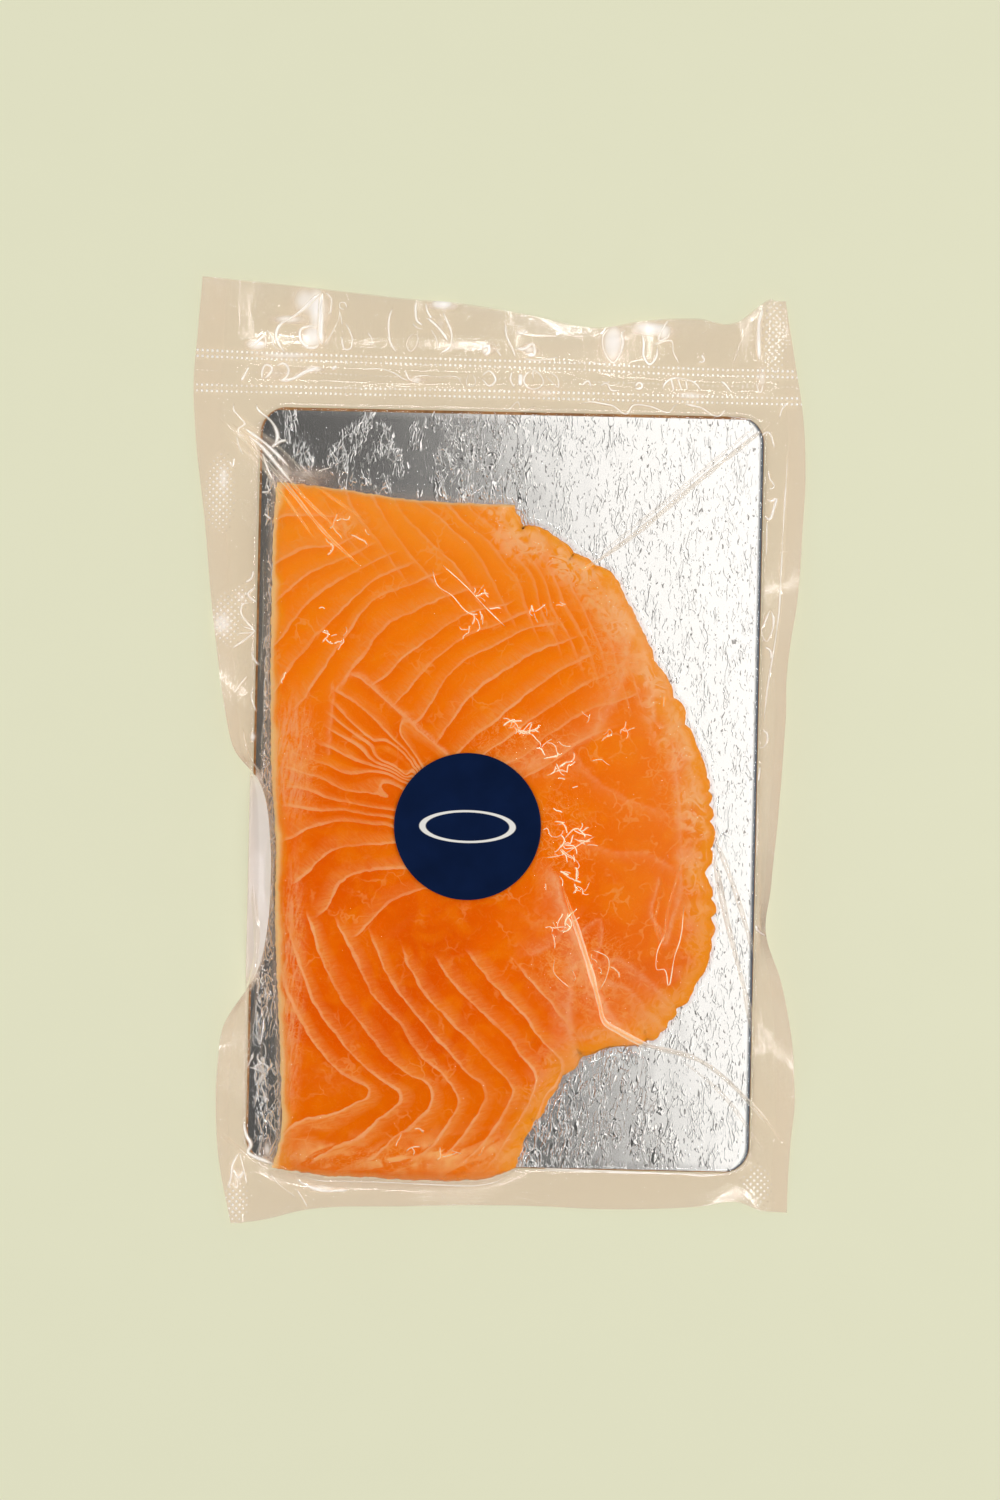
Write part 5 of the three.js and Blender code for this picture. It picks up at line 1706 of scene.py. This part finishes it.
PLEAT_STEP = 0.7
PLEAT_ACROSS = 9
PLEAT_SUNK = 0.02
PLEAT_TAPER = 0.16  # share of a pleat's length in which each end fades out
DROP_FROM = 60.0
OFF_THE_WEB = -99.0
STEEPEST_HAIR = 1.0
FAINTEST_ON_FISH = 0.40
ON_FISH_MILK = 1.35
ON_FISH_SHINE = 0.15
web_tree = BVHTree.FromPolygons(front_points.tolist(), grid_faces(*film_column.shape).tolist())


def drop_onto_web(x, y):
    """Height of the front web under a point, seen from above."""
    hit, _, _, _ = web_tree.ray_cast((x, y, DROP_FROM), (0.0, 0.0, -1.0))
    return OFF_THE_WEB if hit is None else hit[2] - PLEAT_SUNK


pleat_points = []
pleat_faces = []
pleat_marks = []
pleat_shine = []
pleat_on_fish = []
points_so_far = 0
section = np.linspace(-1.0, 1.0, PLEAT_ACROSS)
bulge = (1.0 - section ** 2) ** 1.5
for index, (points, half_width, height, haze, white) in enumerate(folds):
    length = walked_along(np.array(points, dtype=float))[-1]
    course = curve(points, max(8, int(length / PLEAT_STEP)))
    heading = np.gradient(course, axis=0)
    heading /= np.hypot(heading[:, 0], heading[:, 1])[:, None]
    sideways = np.column_stack([-heading[:, 1], heading[:, 0]])
    part_way = np.linspace(0.0, 1.0, len(course))
    fatness = 1.0 + 0.35 * value_noise(course[:, 0], course[:, 1], 5.0, 5.0, 80 + index % 7)
    taper = np.sqrt(smooth(part_way, 0.0, PLEAT_TAPER) * smooth(1.0 - part_way, 0.0, PLEAT_TAPER)) * 0.9 + 0.1
    strip = []
    for (cx, cy), (nx, ny), thin, fat in zip(course, sideways, taper, fatness):
        row = []
        for across, rise in zip(section, bulge):
            x = cx + nx * across * half_width * thin * fat
            y = cy + ny * across * half_width * thin * fat
            row.append((x, y, drop_onto_web(x, y) + rise * height * thin))
        strip.append(row)
    strip = np.array(strip)
    if (strip[..., 2] < OFF_THE_WEB / 2).any():
        print("Pleat", index, "leaves the web; skipped")
        continue
    row_on_fish = inside(slab_outline, course[:, 0], course[:, 1])
    too_steep = np.ptp(strip[..., 2]) > STEEPEST_HAIR
    too_faint = row_on_fish.any() and white < FAINTEST_ON_FISH
    if index >= first_hair and (too_steep or too_faint):
        continue
    pleat_points.append(strip.reshape(-1, 3))
    pleat_faces.append(grid_faces(len(course), PLEAT_ACROSS, points_so_far))
    points_so_far += len(course) * PLEAT_ACROSS
    # The white along the crest is partly stress whitening and partly a painted highlight; on the fish it is
    # brightened further.
    milk = haze * (0.35 + 0.65 * np.abs(section)) + white * np.exp(-(section / 0.6) ** 2)
    milk = np.tile(milk, (len(course), 1)) * taper[:, None] * np.clip(fatness, 0.7, 1.0)[:, None]
    milk = np.clip(milk * np.where(row_on_fish, ON_FISH_MILK, 1.0)[:, None], 0.0, 1.0).ravel()
    nothing = np.zeros(milk.size)
    pleat_marks.append(np.stack([milk + 0.01, nothing, nothing], axis=-1))
    shine_of_rows = np.repeat(np.where(row_on_fish, ON_FISH_SHINE, 1.0), PLEAT_ACROSS)
    pleat_shine.append(np.stack([nothing, nothing + FAR_AWAY, shine_of_rows], axis=-1))
    pleat_on_fish.append(np.repeat(row_on_fish[:-1], PLEAT_ACROSS - 1))
pleats = make_piece("film_pleats", np.concatenate(pleat_points), np.concatenate(pleat_faces),
                    {"film_marks": np.concatenate(pleat_marks), "seal_marks": np.concatenate(pleat_shine)})
pleats.data.polygons.foreach_set("material_index", np.concatenate(pleat_on_fish).astype(int))
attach(pleats, "root")

# %% [markdown]
# Vacuum film is nylon and polyethylene, cast clear. It does three things to light: most
# goes straight through with a faint warm cast, a little is scattered as a milky haze, and
# a few per cent is mirrored, more at a grazing angle. A mix of a transparent, a diffuse and
# a glossy shader says just that. The seals' dots, the pressed diamonds of the side strip
# and the tiniest wrinkles are too fine for the mesh, so they are bumps.

# %% Dots, diamonds and wrinkles of the film
DOT_PITCH = 1.5
ROW_OFFSET = 0.90
DIAMOND = 1.05
RIDGE_CELL = 2.2

film, tree = material("vacuum_film_nylon_polyethylene_cast")
place = add("TexCoord").outputs["Object"]
film_stored = add("Attribute", attribute_name="film_marks").outputs["Vector"]
milky_value, emboss_value, crinkle_value = add("SeparateXYZ", [film_stored]).outputs
seals_stored = add("Attribute", attribute_name="seal_marks").outputs["Vector"]
along_seal, across_seal, shine_value = add("SeparateXYZ", [seals_stored]).outputs

either_side = add("Math", [across_seal], operation="ABSOLUTE")
from_row = add("Math", [either_side, ROW_OFFSET], operation="SUBTRACT")
row_away = add("Math", [from_row], operation="ABSOLUTE")
pitches = add("Math", [along_seal, DOT_PITCH], operation="DIVIDE")
part_pitch = add("Math", [pitches], operation="FRACT")
from_dot = add("Math", [part_pitch, 0.5], operation="SUBTRACT")
dot_away = add("Math", [from_dot], operation="ABSOLUTE")
dots = strength((row_away, 0.16, 0.48, 1.0, 0.0), (dot_away, 0.10, 0.30, 1.0, 0.0))

weave = []
for film_axis in list(add("SeparateXYZ", [place]).outputs)[:2]:
    turns = add("Math", [film_axis, math.pi / (DIAMOND * MM)], operation="MULTIPLY")
    weave.append(add("Math", [turns], operation="SINE"))
diamonds = strength(*weave, emboss_value)
pressed_points = strength((diamonds, 0.22, 0.60), 0.60)
wrinkles = strength(threads(RIDGE_CELL, 0.0, 0.09, detail=3.0, wander=1.4), crinkle_value)
film_bumps = stacked_bumps((dots, 1.0, 0.22), (diamonds, 0.6, 0.06), (wrinkles, 1.0, 0.14))
print("Film's relief takes", len(tree.nodes), "nodes")

# %% Vacuum film
FACE_ON_MIRROR = 0.035
OILED_MIRROR = 0.04

cast = add("Mix", {"Factor": strength((milky_value, 0.01, 0.14)), "A": (0.985, 0.98, 0.98, 1.0),
                   "B": (0.955, 0.903, 0.908, 1.0)}, data_type="RGBA")
clear = add("BsdfTransparent", {"Color": cast})
bright_stretches = patches(9.0, 0.40, 0.60, 0.40, 1.00, detail=3.0)
milkiness = milky_value
for pressed_mark in (strength(dots, bright_stretches), pressed_points):
    milkiness = add("Math", [milkiness, pressed_mark], operation="ADD", use_clamp=True)
milk_tone = add("Mix", {"Factor": strength((milkiness, 0.18, 0.60)), "A": linear("E7D3BC"),
                        "B": linear("FFFAF3")}, data_type="RGBA")
haze_shader = add("BsdfPrincipled", {"Base Color": milk_tone, "Roughness": 0.6,
                                     "Specular IOR Level": 0.0})
film_body = add("MixShader", [milkiness, clear, haze_shader])
mirror = add("BsdfAnisotropic", {"Color": (1.0, 1.0, 1.0, 1.0), "Roughness": 0.07,
                                 "Normal": film_bumps})
facing = add("LayerWeight", {"Blend": 0.5}).outputs["Facing"]
edge_on = add("Math", [facing, 5.0], operation="POWER")
grazing = strength(edge_on, 1.0 - FACE_ON_MIRROR)
mirrored = add("Math", [grazing, strength(shine_value, FACE_ON_MIRROR)], operation="ADD",
               use_clamp=True)
add("OutputMaterial", [add("MixShader", [mirrored, film_body, mirror])])
print("Film material has", len(tree.nodes), "nodes")

# %% [markdown]
# Where film is sharply creased, its layers part and it turns white, as bent plastic does,
# and the white crests also serve as painted highlights of the creases. On the fish, oil
# soaks the crease and it hardly mirrors; its painted highlight is a yellower cream there.
# Both are the same film with a few values changed, so they are made as copies. Film gives
# no shadow here, because real film lets nearly all the light through.

# %% Creased film
whitened = film.copy()
whitened.name = "vacuum_film_creased_whitened_and_painted_highlight"
whitened_nodes = whitened.node_tree.nodes
whitened_nodes[milk_tone.name].inputs["A"].default_value = linear("F2E6D0")
whitened_nodes[milk_tone.name].inputs["B"].default_value = linear("FFFAF4")
whitened_nodes[cast.name].inputs["B"].default_value = (0.985, 0.965, 0.945, 1.0)
oiled = whitened.copy()
oiled.name = "vacuum_film_creased_on_fish_painted_highlight"
oiled_nodes = oiled.node_tree.nodes
oiled_nodes[grazing.name].inputs[1].default_value = OILED_MIRROR
oiled_nodes[milk_tone.name].inputs["A"].default_value = linear("FFE89A")
oiled_nodes[milk_tone.name].inputs["B"].default_value = linear("FFF0CE")
for web, films in ((front_web, [film]), (back_web, [film]), (pleats, [whitened, oiled])):
    for its_film in films:
        web.data.materials.append(its_film)
    web.visible_shadow = False
    film_only.objects.link(web)
print("Kinds of film:", film.name, whitened.name, oiled.name)

# %% [markdown]
# The label is a round of coated paper printed solid navy, 44 mm across, pressed onto the
# film. Paper is stiffer than film, so it bridges the small hollows: a smooth second-order
# surface is fitted to the film below and raised until it clears it. A plain off-white oval
# stands where a maker would print a name.

# %% Label
LABEL_RINGS = 36
LABEL_SEGMENTS = 144
LABEL_LIFT = 0.6  # of the deepest dent that the label would cut into
LABEL_CLEAR = 0.06
ROUNDED_EDGE = 0.06
ring_radius = np.concatenate([np.linspace(0.4, LABEL["radius"] - 0.1, LABEL_RINGS), [LABEL["radius"]]])
bearing = np.linspace(0, 2 * math.pi, LABEL_SEGMENTS, endpoint=False)
disc_x = LABEL["centre"][0] + ring_radius[:, None] * np.cos(bearing)
disc_y = LABEL["centre"][1] + ring_radius[:, None] * np.sin(bearing)


def second_order(x, y):
    """Terms of a second-order surface about the label's centre."""
    u = (x - LABEL["centre"][0]) / LABEL["radius"]
    v = (y - LABEL["centre"][1]) / LABEL["radius"]
    return np.stack([np.ones(np.shape(x)), u, v, u * u, u * v, v * v], axis=-1)


film_below = read_raster(draped, disc_x, disc_y)
terms = second_order(disc_x, disc_y)
fit, *_ = np.linalg.lstsq(terms.reshape(-1, 6), film_below.ravel(), rcond=None)
disc_z = terms @ fit
disc_z = disc_z + float((film_below - disc_z).max()) * LABEL_LIFT
disc_z = np.maximum(disc_z, film_below + LABEL_CLEAR)
disc_z = disc_z + 0.02 * value_noise(disc_x, disc_y, 5.0, 5.0, 71)
rounding = np.zeros(len(ring_radius))
rounding[-1] = ROUNDED_EDGE
upper = np.stack([disc_x, disc_y, disc_z + LABEL["thickness"] - rounding[:, None]], axis=-1)
lower = np.stack([disc_x, disc_y, disc_z], axis=-1)
rings = np.concatenate([upper, lower[::-1]])
ring_numbers = np.arange(len(rings) * LABEL_SEGMENTS).reshape(len(rings), LABEL_SEGMENTS)
wrapped = np.concatenate([ring_numbers, ring_numbers[:, :1]], axis=1)
label_corners = [wrapped[:-1, :-1], wrapped[1:, :-1], wrapped[1:, 1:], wrapped[:-1, 1:]]
label_faces = np.stack(label_corners, axis=-1).reshape(-1, 4)
caps = [tuple(int(i) for i in ring_numbers[0]), tuple(int(i) for i in ring_numbers[-1][::-1])]
label = make_piece("label_round", rings.reshape(-1, 3), label_faces, None, caps)
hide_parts("label")
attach(label, "root")

# %% [markdown]
# Coated paper is smooth and shines softly; printed solid, it is one dark blue, a little
# uneven where the ink lies thicker. The oval ring is found from the distance to the label's
# middle, measured in half widths of the oval, which is 1 all along the ring. The tooth of
# the paper is about a twentieth of a millimetre, so it is drawn coarser to show at all.

# %% Navy label paper
OVAL = (13.5, 4.6)
OVAL_LINE = 0.055
LINE_EDGE = 0.03
INK_CLOUD = 9.0
PAPER_TOOTH = 0.35

navy_paper, tree = material("paper_coated_and_printed_navy")
place = add("TexCoord").outputs["Object"]
paper_x, paper_y, _ = add("SeparateXYZ", [place]).outputs
squares = []
for along_axis, middle, half in zip((paper_x, paper_y), LABEL["centre"], OVAL):
    off_middle = add("Math", [along_axis, middle * MM], operation="SUBTRACT")
    in_halves = add("Math", [off_middle, half * MM], operation="DIVIDE")
    squares.append(strength(in_halves, in_halves))
sum_of_squares = add("Math", squares, operation="ADD")
oval = add("Math", [sum_of_squares], operation="SQRT")
past_oval = add("Math", [oval, 1.0], operation="SUBTRACT")
ink_gap = add("Math", [past_oval], operation="ABSOLUTE")
printed = strength((ink_gap, OVAL_LINE, OVAL_LINE + LINE_EDGE, 1.0, 0.0))
ink_clouds = add("TexNoise", {"Vector": place, "Scale": 1.0 / (INK_CLOUD * MM), "Detail": 3.0})
navy = add("Mix", {"Factor": ink_clouds, "A": linear("03112C"), "B": linear("0A1E44")},
           data_type="RGBA")
ink = add("Mix", {"Factor": printed, "A": navy, "B": linear("E9E6DF")}, data_type="RGBA")
tooth = add("TexNoise", {"Vector": place, "Scale": 1.0 / (PAPER_TOOTH * MM), "Detail": 2.0})
pressed_in = add("Bump", {"Height": tooth, "Strength": 0.12, "Distance": 0.03 * MM})
coated_paper = add("BsdfPrincipled", {"Base Color": ink, "Roughness": 0.38,
                                      "Specular IOR Level": 0.2, "Normal": pressed_in})
add("OutputMaterial", [coated_paper])
label.data.materials.append(navy_paper)
print("Label", 2 * LABEL["radius"], "mm across")
